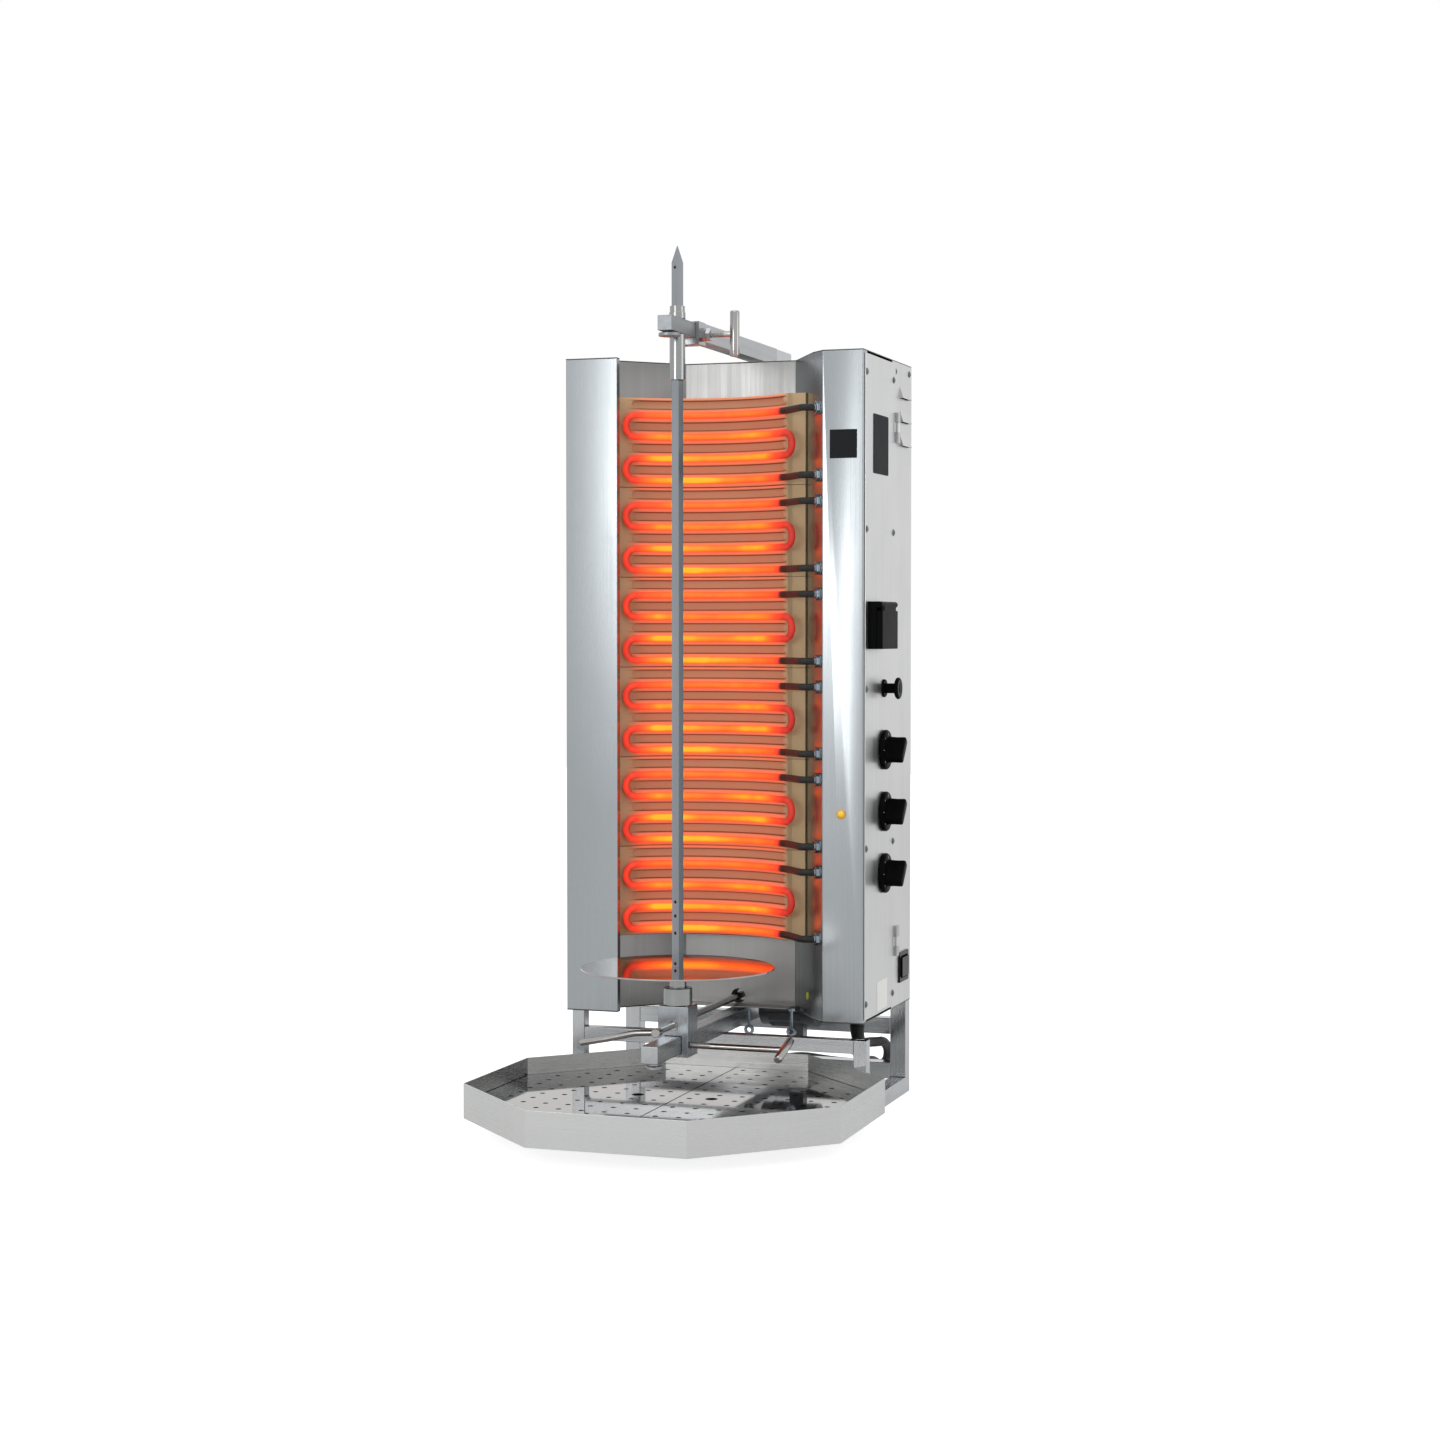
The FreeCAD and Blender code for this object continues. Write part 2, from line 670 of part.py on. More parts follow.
OUTLINE = [
    ("-" + HALF, "casing_front"), ("-wing_edge", "casing_front"), ("-wing_edge", LIP_Y),
    ("-wall_left_x", LIP_Y), ("-back_left_x", CAVITY_Y), ("back_right_x", CAVITY_Y),
    ("box_fold_x", FOLD_Y), ("box_front_x", "casing_front"), (HALF, "casing_front"),
    (HALF, BACK), ("-" + HALF, BACK),
]
cap, _ = padded(OUTLINE, "sheet")
node("top_cap", move_to(cap, "0", "0", "casing_bottom + casing_height"))
floor, _ = padded(OUTLINE, "sheet")
move_to(floor, "0", "0", "casing_bottom")
MOTOR_X = "gearbox_width / 2"
MOTOR_Y = "gearbox_y + gearbox_depth / 2"
window = box(MOTOR_X + " - window_margin", MOTOR_Y + " - motor_r - window_margin", "casing_bottom - 1",
             "motor_length + 2 * window_margin", "2 * (motor_r + window_margin)", "sheet + 2")
node("bottom_plate", cut(floor, window, hole("z", "cord_x", "cord_y", "casing_bottom - 1",
                                             "gland_r - 3", "sheet + 2")))
node("back_panel", box("-" + HALF, BACK + " - sheet", FLOOR, "casing_width", "sheet", WALL_HIGH))

# ---- heated wall: slotted ceramic plates and their heating elements ----
GROOVED = ["-groove_left + %d * (groove_left + groove_right) / 8" % k for k in range(9)]
END_TURN = math.radians(90 + num("groove_left"))
for i in range(PLATES):
    z = "plate_bottom + %d * plate_height" % i
    high = "plate_height - plate_gap"
    curved = bent_plate(["-arc_left"] + GROOVED + ["arc_right"], "arc_r", "arc_r + plate_thick", z, high)
    strip = box("strip_left", "strip_front", z, "strip_right - strip_left", "strip_thick", high)
    grooves = []
    for k in range(4):
        middle = "plate_bottom + %d * plate_height - row_first - %d * row_pitch + row_pitch / 2" % (i + 1, k)
        grooves.append(bent_plate(GROOVED, "arc_r - 3", "arc_r + groove_deep",
                                  middle + " - groove_height / 2", "groove_height"))
        end = doc.addObject("Part::Prism", "groove_end")
        end.Polygon = 8
        end.setExpression("Circumradius", E("groove_height / 2 / cos(22.5 deg)"))
        end.setExpression("Height", E("groove_deep + 4"))
        end.Placement = FreeCAD.Placement(
            V(), FreeCAD.Rotation(V(0, 0, 1), V(math.cos(END_TURN), math.sin(END_TURN), 0))
            * FreeCAD.Rotation(V(0, 0, 1), 22.5 + math.degrees(END_TURN)))
        move_to(end, "arc_x + (arc_r - 4) * cos((90 + groove_left) * 1 deg)",
                "arc_y + (arc_r - 4) * sin((90 + groove_left) * 1 deg)", middle)
        grooves.append(end)
    node("ceramic_plate_%d" % (i + 1), cut(fuse(curved, strip), fuse(*grooves)))


def heater(top):
    """One element: four rows along the wall, three hairpins and two cold ends in the box."""
    radius = num("arc_r - heater_stand")
    centre = V(num("arc_x"), num("arc_y"), 0)
    left, right = math.radians(num("-heater_left")), math.radians(num("heater_right"))
    half = num("row_pitch") / 2

    def on_arc(angle, z):
        return centre + V(radius * math.sin(angle), radius * math.cos(angle), z)

    def along(angle):
        return V(math.cos(angle), -math.sin(angle), 0)

    def row(z, from_left):
        ends = (left, right) if from_left else (right, left)
        return Part.Arc(on_arc(ends[0], z), on_arc((left + right) / 2, z), on_arc(ends[1], z)).toShape()

    def hairpin(point, heading):
        far = point + heading * half - V(0, 0, half)
        return Part.Arc(point, far, point - V(0, 0, 2 * half)).toShape()

    def cold_end(z):
        """From the row out through the wall of the box."""
        start = on_arc(right, z)
        bend = start + along(right) * num("cold_start")
        out = V(num(off_slant("0")[0]), num(off_slant("0")[1]), z)
        knee = out + OUTWARD * num("terminal_length + terminal_bend")
        inside = out - OUTWARD * num("terminal_inside")
        turn = (knee - bend).getAngle(inside - knee)
        radii = [num("cold_bend_r"), num("terminal_bend") / math.tan(turn / 2)]
        return rounded([start, bend, knee, inside], radii)

    rows = [top - num("row_first") - k * num("row_pitch") for k in range(4)]
    first = [edge for edge in reversed(cold_end(rows[0]))]
    edges = [edge.copy() for edge in first]
    edges.append(row(rows[0], False))
    edges.append(hairpin(on_arc(left, rows[0]), -along(left)))
    edges.append(row(rows[1], True))
    turn_in = on_arc(right, rows[1]) + along(right) * num("heater_straight")
    back_out = turn_in - V(0, 0, 2 * half)
    edges.append(Part.LineSegment(on_arc(right, rows[1]), turn_in).toShape())
    edges.append(hairpin(turn_in, along(right)))
    edges.append(Part.LineSegment(back_out, on_arc(right, rows[2])).toShape())
    edges.append(row(rows[2], False))
    edges.append(hairpin(on_arc(left, rows[2]), -along(left)))
    edges.append(row(rows[3], True))
    edges += cold_end(rows[3])
    path = []
    for edge in Part.Wire(Part.__sortEdges__(edges)).OrderedEdges:
        points = stepped([edge], 45.0 if edge.Length < 60 else 13.0)
        if edge.Orientation == "Reversed":
            points.reverse()
        path += points if not path else points[1:]
    if (path[0] - V(path[0].x, path[0].y, rows[0])).Length > 1:
        path.reverse()
    side = OUTWARD.cross(V(0, 0, 1)).normalize()
    return mitred(path, side, num("heater_r"))


first_heater = heater(num("plate_bottom + plate_height"))
for i in range(PLATES):
    lifted = first_heater.copy()
    lifted.translate(V(0, 0, i * num("plate_height")))
    node("heater_%d" % (i + 1), shaped(lifted))

fixings = []
for z in ends:
    x, y = off_slant("0")
    washer = rod("out", x, y, z, "washer_r", "washer_thick", 12)
    x, y = off_slant("washer_thick")
    nut = prism("out", 6, x, y, z, "nut_flats", "nut_thick", "8")
    x, y = off_slant("-1")
    bore = prism("out", 6, x, y, z, "2 * heater_r * cos(30 deg)", "nut_thick + washer_thick + 2", BORE_TURN)
    fixings.append(cut(fuse(washer, nut), bore))
node("terminal_nuts", group(*fixings))

# ---- sliding gear block on the lower arm ----
ROOF = "housing_top"
block = box("-housing_width / 2", "skewer_y - housing_depth / 2", "housing_bottom", "housing_width",
            "housing_depth", "housing_top - housing_bottom")
arm_way = box("-arm_tube / 2 - slide_clear", "skewer_y - housing_depth", "cross_top - slide_clear",
              "arm_tube + 2 * slide_clear", "2 * housing_depth", "arm_tube + 2 * slide_clear")
chamber = box("-chamber_width / 2", "skewer_y - chamber_depth / 2", "chamber_bottom", "chamber_width",
              "chamber_depth", "chamber_top - chamber_bottom")
upright = hole("z", "0", "skewer_y", "chamber_top - 2", "journal_r + run_clear + 2", "20", 16)
behind = hole("y", "0", "skewer_y", "drive_z", "journal_r + run_clear", "housing_depth", 16)
ahead = hole("-y", "0", "skewer_y", "drive_z - 3", "spindle_r + run_clear", "housing_depth")
side_hole = hole("x", "0", "skewer_y - clamp_ahead", "clamp_z", "clamp_r + run_clear", "housing_width")
node("gear_block", cut(block, arm_way, chamber, upright, behind, ahead, side_hole))
node("lower_bearing", cut(
    rod("z", "0", "skewer_y", ROOF, "bearing_r", "bearing_height", 40),
    hole("z", "0", "skewer_y", ROOF + " - 1", "socket_r + run_clear", "bearing_height + 2", 24)))


def bevel_gear():
    """A mitre gear with its apex at the origin, opening upwards, with straight teeth."""
    outer, count = num("gear_r"), int(num("gear_teeth"))
    scale = 1 - num("gear_face") / (outer * math.sqrt(2))
    high, deep = num("tooth_high") / math.sqrt(2), num("tooth_deep") / math.sqrt(2)
    back = outer + deep
    rings = []
    for radius, z in ((scale * (outer - deep), scale * back), (outer - deep, back), (outer - deep, back + 2)):
        ring = ring_at(V(0, 0, z), V(0, 0, 1), V(1, 0, 0), radius / math.cos(math.pi / count), count)
        rings.append(Part.makePolygon(ring + ring[:1]))
    blank = Part.makeLoft(rings, True, True)
    pitch = 2 * math.pi * outer / count
    root, tip = 0.28 * pitch, 0.15 * pitch
    quad = [V(outer - deep - 0.4, -root, outer + deep + 0.4), V(outer - deep - 0.4, root, outer + deep + 0.4),
            V(outer + high, tip, outer - high), V(outer + high, -tip, outer - high)]
    ends_of = [Part.makePolygon([p * k for p in quad + quad[:1]]) for k in (scale, 1)]
    tooth = Part.makeLoft(ends_of, True, True)
    teeth = []
    for k in range(count):
        one = tooth.copy()
        one.rotate(V(), V(0, 0, 1), 360.0 * k / count)
        teeth.append(one)
    return blank.multiFuse(teeth).removeSplitter()


gear = bevel_gear()
APEX = V(0, num("skewer_y"), num("drive_z"))


def placed_gear(rotation):
    made = shaped(gear)
    made.Placement = FreeCAD.Placement(APEX, rotation)
    return made


GEAR_BACK = "gear_r + tooth_deep / sqrt(2) + 2"
journal = rod("z", "0", "skewer_y", "drive_z + " + GEAR_BACK + " - 1", "journal_r + 2",
              "housing_top - drive_z - (" + GEAR_BACK + ") + 1.5", 16)
socket_body = rod("z", "0", "skewer_y", ROOF + " + 0.3", "socket_r", "disc_z - housing_top - 0.3 - slide_clear")
square_bore = prism("z", 4, "0", "skewer_y", "skewer_foot - 1", "skewer_side + 2 * skewer_clear",
                    "disc_z", "45 + skewer_turn")
node("skewer_socket", cut(fuse(placed_gear(FreeCAD.Rotation()), journal, socket_body), square_bore))

half_pitch = 180.0 / num("gear_teeth")
shaft = fuse(
    placed_gear(FreeCAD.Rotation(V(1, 0, 0), -90) * FreeCAD.Rotation(V(0, 0, 1), half_pitch)),
    rod("y", "0", "skewer_y + gear_r", "drive_z", "journal_r", "housing_depth / 2 - gear_r + 6"),
    prism("y", 6, "0", "skewer_y + housing_depth / 2 + 5", "drive_z", "drive_hex",
          "drive_rear - skewer_y - housing_depth / 2 - 5"))
node("drive_shaft", shaft)

LEVER_Y = "skewer_y - housing_depth / 2 - lever_reach"
spindle = rod("-y", "0", "skewer_y - housing_depth / 2 + 3", "drive_z - 3", "spindle_r", "lever_reach + 3")
hub = rod("-y", "0", LEVER_Y + " + lever_hub_length / 2", "drive_z - 3", "lever_hub_r", "lever_hub_length", 16)
reach, droop = num("lever_length"), num("lever_droop")
lever_line = [V(x * reach, num(LEVER_Y), num("drive_z - 3") + z * droop)
              for x, z in ((0.0, 0.0), (-0.3, -0.18), (-0.66, -0.95), (-1.0, -1.55))]
curve = stepped(rounded(lever_line, [70.0, 90.0]), 9.0)
bar = mitred(curve, V(0, 1, 0), num("lever_r"), 8)
cap_heading = (curve[-1] - curve[-2]).normalize()
cap_rings = [ring_at(curve[-1] + cap_heading * along, cap_heading, V(0, 1, 0), num("lever_r") * share, 8)
             for along, share in ((0.0, 1.0), (1.8, 0.85), (3.2, 0.45))]
tip = Part.makeLoft([Part.makePolygon(ring + ring[:1]) for ring in cap_rings], True, True)
node("clutch_lever", fuse(spindle, hub, shaped(bar), shaped(tip)))

CLAMP_Y = "skewer_y - clamp_ahead"
screw = rod("x", "arm_tube / 2 + 0.4", CLAMP_Y, "clamp_z", "clamp_r", "clamp_length - arm_tube / 2 - 0.4")
cross_bar = doc.addObject("Part::Prism", "cross_bar")
cross_bar.Polygon = 16
cross_bar.setExpression("Circumradius", E("clamp_bar_r"))
cross_bar.setExpression("Height", E("clamp_bar"))
tilt = math.radians(num("clamp_bar_tilt"))
cross_bar.Placement = FreeCAD.Placement(V(), FreeCAD.Rotation(V(0, 0, 1), V(0, math.cos(tilt), math.sin(tilt))))
move_to(cross_bar, "clamp_length", CLAMP_Y + " - clamp_bar / 2 * cos(clamp_bar_tilt * 1 deg)",
        "clamp_z - clamp_bar / 2 * sin(clamp_bar_tilt * 1 deg)")
node("lower_clamp_screw", fuse(screw, cross_bar))

# ---- skewer and disc ----
stick = prism("z", 4, "0", "skewer_y", "skewer_foot", "skewer_side",
              "skewer_top - skewer_point - skewer_foot", "45 + skewer_turn")
point = doc.addObject("Part::Wedge", "point")
for prop, text in {"Xmin": "-skewer_side / 2", "Xmax": "skewer_side / 2", "Ymin": "0",
                   "Ymax": "skewer_point", "Zmin": "-skewer_side / 2", "Zmax": "skewer_side / 2",
                   "X2min": "-0.4", "X2max": "0.4", "Z2min": "-0.4", "Z2max": "0.4"}.items():
    point.setExpression(prop, E(text))
point.Placement = FreeCAD.Placement(
    V(), FreeCAD.Rotation(V(0, 0, 1), num("skewer_turn")) * FreeCAD.Rotation(V(1, 0, 0), 90))
move_to(point, "0", "skewer_y", "skewer_top - skewer_point")
cross = math.radians(num("skewer_turn"))
pin_holes = []
for z in ("disc_z + 3.4 * pin_hole_pitch", "disc_z + 2.3 * pin_hole_pitch", "disc_z + 4.3 * pin_hole_pitch",
          "disc_z + 7.6", "skewer_top - tip_hole_drop"):
    drilled = doc.addObject("Part::Prism", "pin_hole")
    drilled.Polygon = 8
    drilled.setExpression("Circumradius", E("pin_hole_r"))
    drilled.setExpression("Height", E("2 * skewer_side"))
    drilled.Placement = FreeCAD.Placement(V(), FreeCAD.Rotation(V(0, 0, 1), V(-math.sin(cross), math.cos(cross), 0)))
    pin_holes.append(move_to(drilled, "skewer_side * sin(skewer_turn * 1 deg)",
                             "skewer_y - skewer_side * cos(skewer_turn * 1 deg)", z))
node("skewer", cut(fuse(stick, point), group(*pin_holes)))
node("meat_disc", cut(
    rod("z", "0", "skewer_y", "disc_z", "disc_r", "disc_thick"),
    prism("z", 4, "0", "skewer_y", "disc_z - 1", "skewer_side + 2 * skewer_clear", "disc_thick + 2",
          "45 + skewer_turn")))

# ---- upper bearing ----
BAR_LOW = "upper_top - upper_tube / 2 - slide_bar / 2"
bar_made = box("-slide_bar / 2", "skewer_y - slide_bar_front", BAR_LOW, "slide_bar",
               "slide_bar_front + slide_bar_rear", "slide_bar")
neck_hole = hole("z", "0", "skewer_y", BAR_LOW + " - 1", "sleeve_neck_r + run_clear", "slide_bar + 2", 24)
STOP_Y = "skewer_y - upper_stop_ahead"
button = rod("-z", "0", STOP_Y, BAR_LOW + " - upper_stop_stem", "upper_stop_r", "stop_thick", 24)
stem = rod("-z", "0", STOP_Y, BAR_LOW, "stop_stem_r", "upper_stop_stem", 8)
node("bearing_bar", fuse(cut(bar_made, neck_hole), button, stem))
SLEEVE_TOP = BAR_LOW + " - slide_clear"
BAR_TOP = BAR_LOW + " + slide_bar"
sleeve = fuse(
    rod("-z", "0", "skewer_y", SLEEVE_TOP, "sleeve_r", "sleeve_length", 32),
    rod("z", "0", "skewer_y", SLEEVE_TOP, "sleeve_neck_r", "slide_bar + 3 * slide_clear"),
    rod("z", "0", "skewer_y", BAR_TOP + " + slide_clear", "sleeve_r + 0.5", "sleeve_head / 2", 32),
    rod("z", "0", "skewer_y", BAR_TOP + " + slide_clear + sleeve_head / 2", "sleeve_r - 0.4",
        "sleeve_head / 2", 32))
node("upper_sleeve", cut(sleeve, prism(
    "z", 4, "0", "skewer_y", SLEEVE_TOP + " - sleeve_length - 1", "sleeve_bore",
    "sleeve_length + slide_bar + sleeve_head + 6", "45 + skewer_turn")))
screw = rod("x", "slide_bar / 2 + 0.4", CLAMP_AT, "upper_clamp_z", "clamp_r",
            "upper_clamp_x - slide_bar / 2 - 0.4")
bar_up = rod("z", "upper_clamp_x", CLAMP_AT, "upper_clamp_z - upper_clamp_bar / 2", "upper_clamp_bar_r",
             "upper_clamp_bar", 16)
node("upper_clamp_screw", fuse(screw, bar_up))

# ---- gearmotor ----
QUILL_Y = "gearbox_y - quill_out"
gearbox = box("-gearbox_width / 2", "gearbox_y", FLOOR, "gearbox_width", "gearbox_depth",
              "gearbox_top - casing_bottom - sheet")
node("gearbox", cut(gearbox, hole("y", "0", "gearbox_y - 1", "drive_z", "quill_r + run_clear",
                                  "gearbox_depth + 2", 16)))
node("output_quill", cut(
    rod("y", "0", QUILL_Y, "drive_z", "quill_r", "gearbox_depth + 2 * quill_out"),
    prism("y", 6, "0", QUILL_Y + " - 1", "drive_z", "drive_hex + 2 * slide_clear",
          "gearbox_depth + 2 * quill_out + 2")))
body = rod("x", MOTOR_X, MOTOR_Y, "motor_z", "motor_r", "motor_length", 32)
hood = rod("x", MOTOR_X + " + motor_length - 18", MOTOR_Y, "motor_z", "motor_r + 1.5", "18", 32)
wiring = box(MOTOR_X + " + motor_length / 2", MOTOR_Y + " - terminal_box / 2",
             "motor_z - motor_r - terminal_box_high + 6", "terminal_box", "terminal_box",
             "terminal_box_high")
node("motor", fuse(body, hood, wiring))

bolts, BOLT_Y = [], CAVITY_Y + " - liner_lip / 2"
for x in ("22", "90"):
    eye = cut(
        prism("y", 12, x, BOLT_Y + " - 0.8 * eyebolt_r", FLOOR + " - eyebolt_drop", "6 * eyebolt_r",
              "1.6 * eyebolt_r"),
        hole("y", x, BOLT_Y + " - eyebolt_r", FLOOR + " - eyebolt_drop", "1.4 * eyebolt_r", "2 * eyebolt_r"))
    shank = rod("z", x, BOLT_Y, FLOOR + " - eyebolt_drop + 2 * eyebolt_r", "eyebolt_r",
                "eyebolt_drop - 2 * eyebolt_r", 8)
    nut = prism("z", 6, x, BOLT_Y, FLOOR + " - 4", "4 * eyebolt_r", "4")
    bolts.append(fuse(eye, shank, nut))
node("hanger_bolts", group(*bolts))

# ---- drip tray with its two perforated plates ----
TRAY_Y = "skewer_y - tray_ahead"
INSIDE = "tray_flats - 2 * tray_wall"
node("tray", cut(
    prism("z", 8, "0", TRAY_Y, "tray_lift", "tray_flats", "tray_height", "22.5"),
    prism("z", 8, "0", TRAY_Y, "tray_lift + tray_wall", INSIDE, "tray_height", "22.5")))
for name, side, sign in (("left", "-tray_flats", "-"), ("right", "insert_gap / 2", "+")):
    whole = prism("z", 8, "0", TRAY_Y, "insert_top - insert_thick", INSIDE + " - 2 * insert_side",
                  "insert_thick", "22.5")
    half = doc.addObject("Part::Common", "half")
    half.Base = whole
    half.Tool = box("-tray_flats" if sign == "-" else "insert_gap / 2", TRAY_Y + " - tray_flats",
                    "0", "tray_flats - insert_gap / 2" if sign == "-" else "tray_flats",
                    "2 * tray_flats", "2 * insert_top")
    legs = []
    for x, y in (("70", "-170"), ("70", "170"), ("200", "-80"), ("200", "80")):
        legs.append(rod("z", "%s%s" % (sign, x), "%s + %s" % (TRAY_Y, y), "tray_lift + tray_wall",
                        "insert_leg_r", "insert_top - insert_thick - tray_lift - tray_wall", 8))
    finger = hole("z", "-63" if sign == "-" else "50", "skewer_y + 4", "0", "finger_hole_r",
                  "2 * insert_top", 24)
    node("perforated_plate_" + name, cut(fuse(half, *legs), finger))

# ---- service door and its controls ----
DOOR_X = HALF + " + door_gap"
DOOR_OUT = DOOR_X + " + sheet"
DOOR_Y = "casing_front + door_start"
panel = box(DOOR_X, DOOR_Y, "door_bottom", "sheet", "door_depth", "door_height")
ring = cut(
    box(DOOR_X + " - door_flange", DOOR_Y + " + door_flange_in", "door_bottom + door_flange_in",
        "door_flange", "door_depth - 2 * door_flange_in", "door_height - 2 * door_flange_in"),
    box(DOOR_X + " - door_flange - 1", DOOR_Y + " + door_flange_in + sheet",
        "door_bottom + door_flange_in + sheet", "door_flange + 2",
        "door_depth - 2 * door_flange_in - 2 * sheet", "door_height - 2 * door_flange_in - 2 * sheet"))
HINGE_X = DOOR_OUT + " + hinge_r"
HINGE_Y = DOOR_Y + " + door_depth + hinge_back"
knuckles, outer, leaves = [], [], []
for z in ("hinge_low_z", "hinge_high_z"):
    third = "hinge_length / 3"
    middle = fuse(
        rod("z", HINGE_X, HINGE_Y, "%s + %s + 0.3" % (z, third), "hinge_r", third + " - 0.6", 16),
        box(DOOR_OUT, DOOR_Y + " + door_depth - 12", "%s + %s + 0.3" % (z, third), "sheet",
            "12 + hinge_back", third + " - 0.6"))
    pin = rod("z", HINGE_X, HINGE_Y, z, "hinge_r / 2", "hinge_length")
    knuckles.append(cut(middle, hole("z", HINGE_X, HINGE_Y, z, "hinge_r / 2 + run_clear", "hinge_length")))
    fixed = [pin]
    for start in (z, "%s + 2 * %s" % (z, third)):
        fixed.append(rod("z", HINGE_X, HINGE_Y, start, "hinge_r", third, 16))
        fixed.append(box(HALF, HINGE_Y + " - hinge_r + 0.5", start, DOOR_OUT + " - " + HALF + " + hinge_r",
                         "hinge_r + 14", third))
    leaves.append(fuse(*fixed))
node("door_hinges", group(*leaves))
holes = [hole("x", DOOR_X + " - 1", "control_y", "knob_low_z + %d * knob_pitch" % k, "stem_r + run_clear",
              "sheet + 2") for k in range(3)]
holes.append(hole("x", DOOR_X + " - 1", "control_y", "push_z", "push_stem_r + run_clear", "sheet + 2", 16))
node("service_door", cut(fuse(panel, ring, *knuckles), fuse(*holes)))

switches = []
for k in range(3):
    z = "knob_low_z + %d * knob_pitch" % k
    case = box(DOOR_X + " - regulator_deep", "control_y - regulator_side / 2", z + " - regulator_side / 2",
               "regulator_deep", "regulator_side", "regulator_side")
    switches.append(cut(case, hole("x", DOOR_X + " - 17", "control_y", z, "stem_r + run_clear", "18")))
case = box(DOOR_X + " - regulator_deep", "control_y - 16", "push_z - 16", "regulator_deep", "32", "32")
switches.append(cut(case, hole("x", DOOR_X + " - 24", "control_y", "push_z", "push_stem_r + run_clear", "25",
                               16)))
node("regulators", group(*switches))

for k in range(3):
    z = "knob_low_z + %d * knob_pitch" % k
    disc = rod("x", DOOR_OUT + " + knob_gap", "control_y", z, "knob_r", "knob_flange", 48)
    grip = doc.addObject("Part::Box", "grip")
    grip.setExpression("Length", E("knob_bar_wide"))
    grip.setExpression("Width", E("knob_bar"))
    grip.setExpression("Height", E("knob_grip + 1"))
    lean = FreeCAD.Rotation(V(1, 0, 0), 90 - num("knob_turn")) * FreeCAD.Rotation(V(0, 1, 0), 90)
    grip.Placement = FreeCAD.Placement(V(), lean)
    corner = lean.multVec(V(-num("knob_bar_wide") / 2, -num("knob_bar") / 2, 0))
    move_to(grip, DOOR_OUT + " + knob_gap + knob_flange - 1", "control_y + (%.6f)" % corner.y,
            "%s + (%.6f)" % (z, corner.z))
    shaft = rod("x", DOOR_X + " - 16", "control_y", z, "stem_r", "16 + sheet + knob_gap + 1")
    node("knob_%d" % (k + 1), fuse(disc, grip, shaft))

push = [rod("x", DOOR_X + " - 16", "control_y", "push_z", "push_stem_r", "push_out - push_head + 16", 16),
        rod("x", DOOR_X + " + push_out - push_head", "control_y", "push_z", "push_head_r", "push_head", 32)]
node("mushroom_knob", fuse(*push))

LID_X = DOOR_OUT + " + outlet_deep + lid_gap"
AXIS_X = LID_X + " + lid_thick / 2"
AXIS_Z = "outlet_bottom + outlet_height - lid_thick / 2"
base = box(DOOR_OUT, "outlet_front", "outlet_bottom", "outlet_deep", "outlet_length", "outlet_height")
well = rod("x", DOOR_OUT + " + 3", "outlet_front + outlet_length / 2", "outlet_bottom + 31", "22", "outlet_deep",
           24)
ears = []
for y in ("outlet_front", "outlet_front + outlet_length - 10"):
    ears.append(box(DOOR_OUT + " + outlet_deep - 1", y, AXIS_Z + " - lid_thick / 2", "1 + lid_gap + lid_thick / 2",
                    "10", "lid_thick"))
    ears.append(rod("y", AXIS_X, y, AXIS_Z, "lid_thick / 2", "10", 16))
pin = rod("y", AXIS_X, "outlet_front", AXIS_Z, "lid_pin_r", "outlet_length")
node("socket_box", fuse(cut(base, well), pin, *ears))
flap = fuse(
    box(LID_X, "outlet_front + 10.4", "outlet_bottom", "lid_thick", "outlet_length - 20.8",
        "outlet_height - lid_thick / 2"),
    box(LID_X, "outlet_front", "outlet_bottom", "lid_thick", "outlet_length",
        "outlet_height - 1.5 * lid_thick"),
    rod("y", AXIS_X, "outlet_front + 10.4", AXIS_Z, "lid_thick / 2", "outlet_length - 20.8", 16))
node("socket_lid", cut(flap, hole("y", AXIS_X, "outlet_front", AXIS_Z, "lid_pin_r + run_clear", "outlet_length")))

ROCK_Z = "rocker_z + rocker_height / 2"
tub = fuse(
    box(HALF, "casing_front + casing_depth - rocker_inset - rocker_width / 2 - rocker_rim", "rocker_z - rocker_rim", "rocker_rim",
        "rocker_width + 2 * rocker_rim", "rocker_height + 2 * rocker_rim"),
    box(HALF + " - rocker_deep", "casing_front + casing_depth - rocker_inset - rocker_width / 2", "rocker_z", "rocker_deep + 1",
        "rocker_width", "rocker_height"))
mouth = box(HALF + " - rocker_deep + 3", "casing_front + casing_depth - rocker_inset - rocker_width / 2 + 4", "rocker_z + 4",
            "rocker_deep + rocker_rim", "rocker_width - 8", "rocker_height - 8")
PIN_Y = "casing_front + casing_depth - rocker_inset - rocker_width / 2 + 2.5"
pin_way = hole("y", HALF + " - 4", PIN_Y, ROCK_Z, "rocker_pin_r + run_clear", "rocker_width - 5")
node("switch_bezel", cut(tub, mouth, pin_way))
node("rocker_switch", fuse(
    box(HALF + " - 7", "casing_front + casing_depth - rocker_inset - rocker_width / 2 + 4.6", "rocker_z + 6", "12",
        "rocker_width - 9.2", "rocker_height - 12"),
    rod("y", HALF + " - 4", PIN_Y + " + 0.3", ROCK_Z, "rocker_pin_r", "rocker_width - 5.6")))

lens = rod("-y", "lamp_x", "casing_front + 14", "lamp_z", "lamp_lens_r", "14 + 5", 16)
rim = rod("-y", "lamp_x", "casing_front", "lamp_z", "lamp_r", "2", 24)
node("indicator_lamp", fuse(lens, rim, rod("y", "lamp_x", "casing_front + sheet", "lamp_z", "lamp_r", "3", 12)))

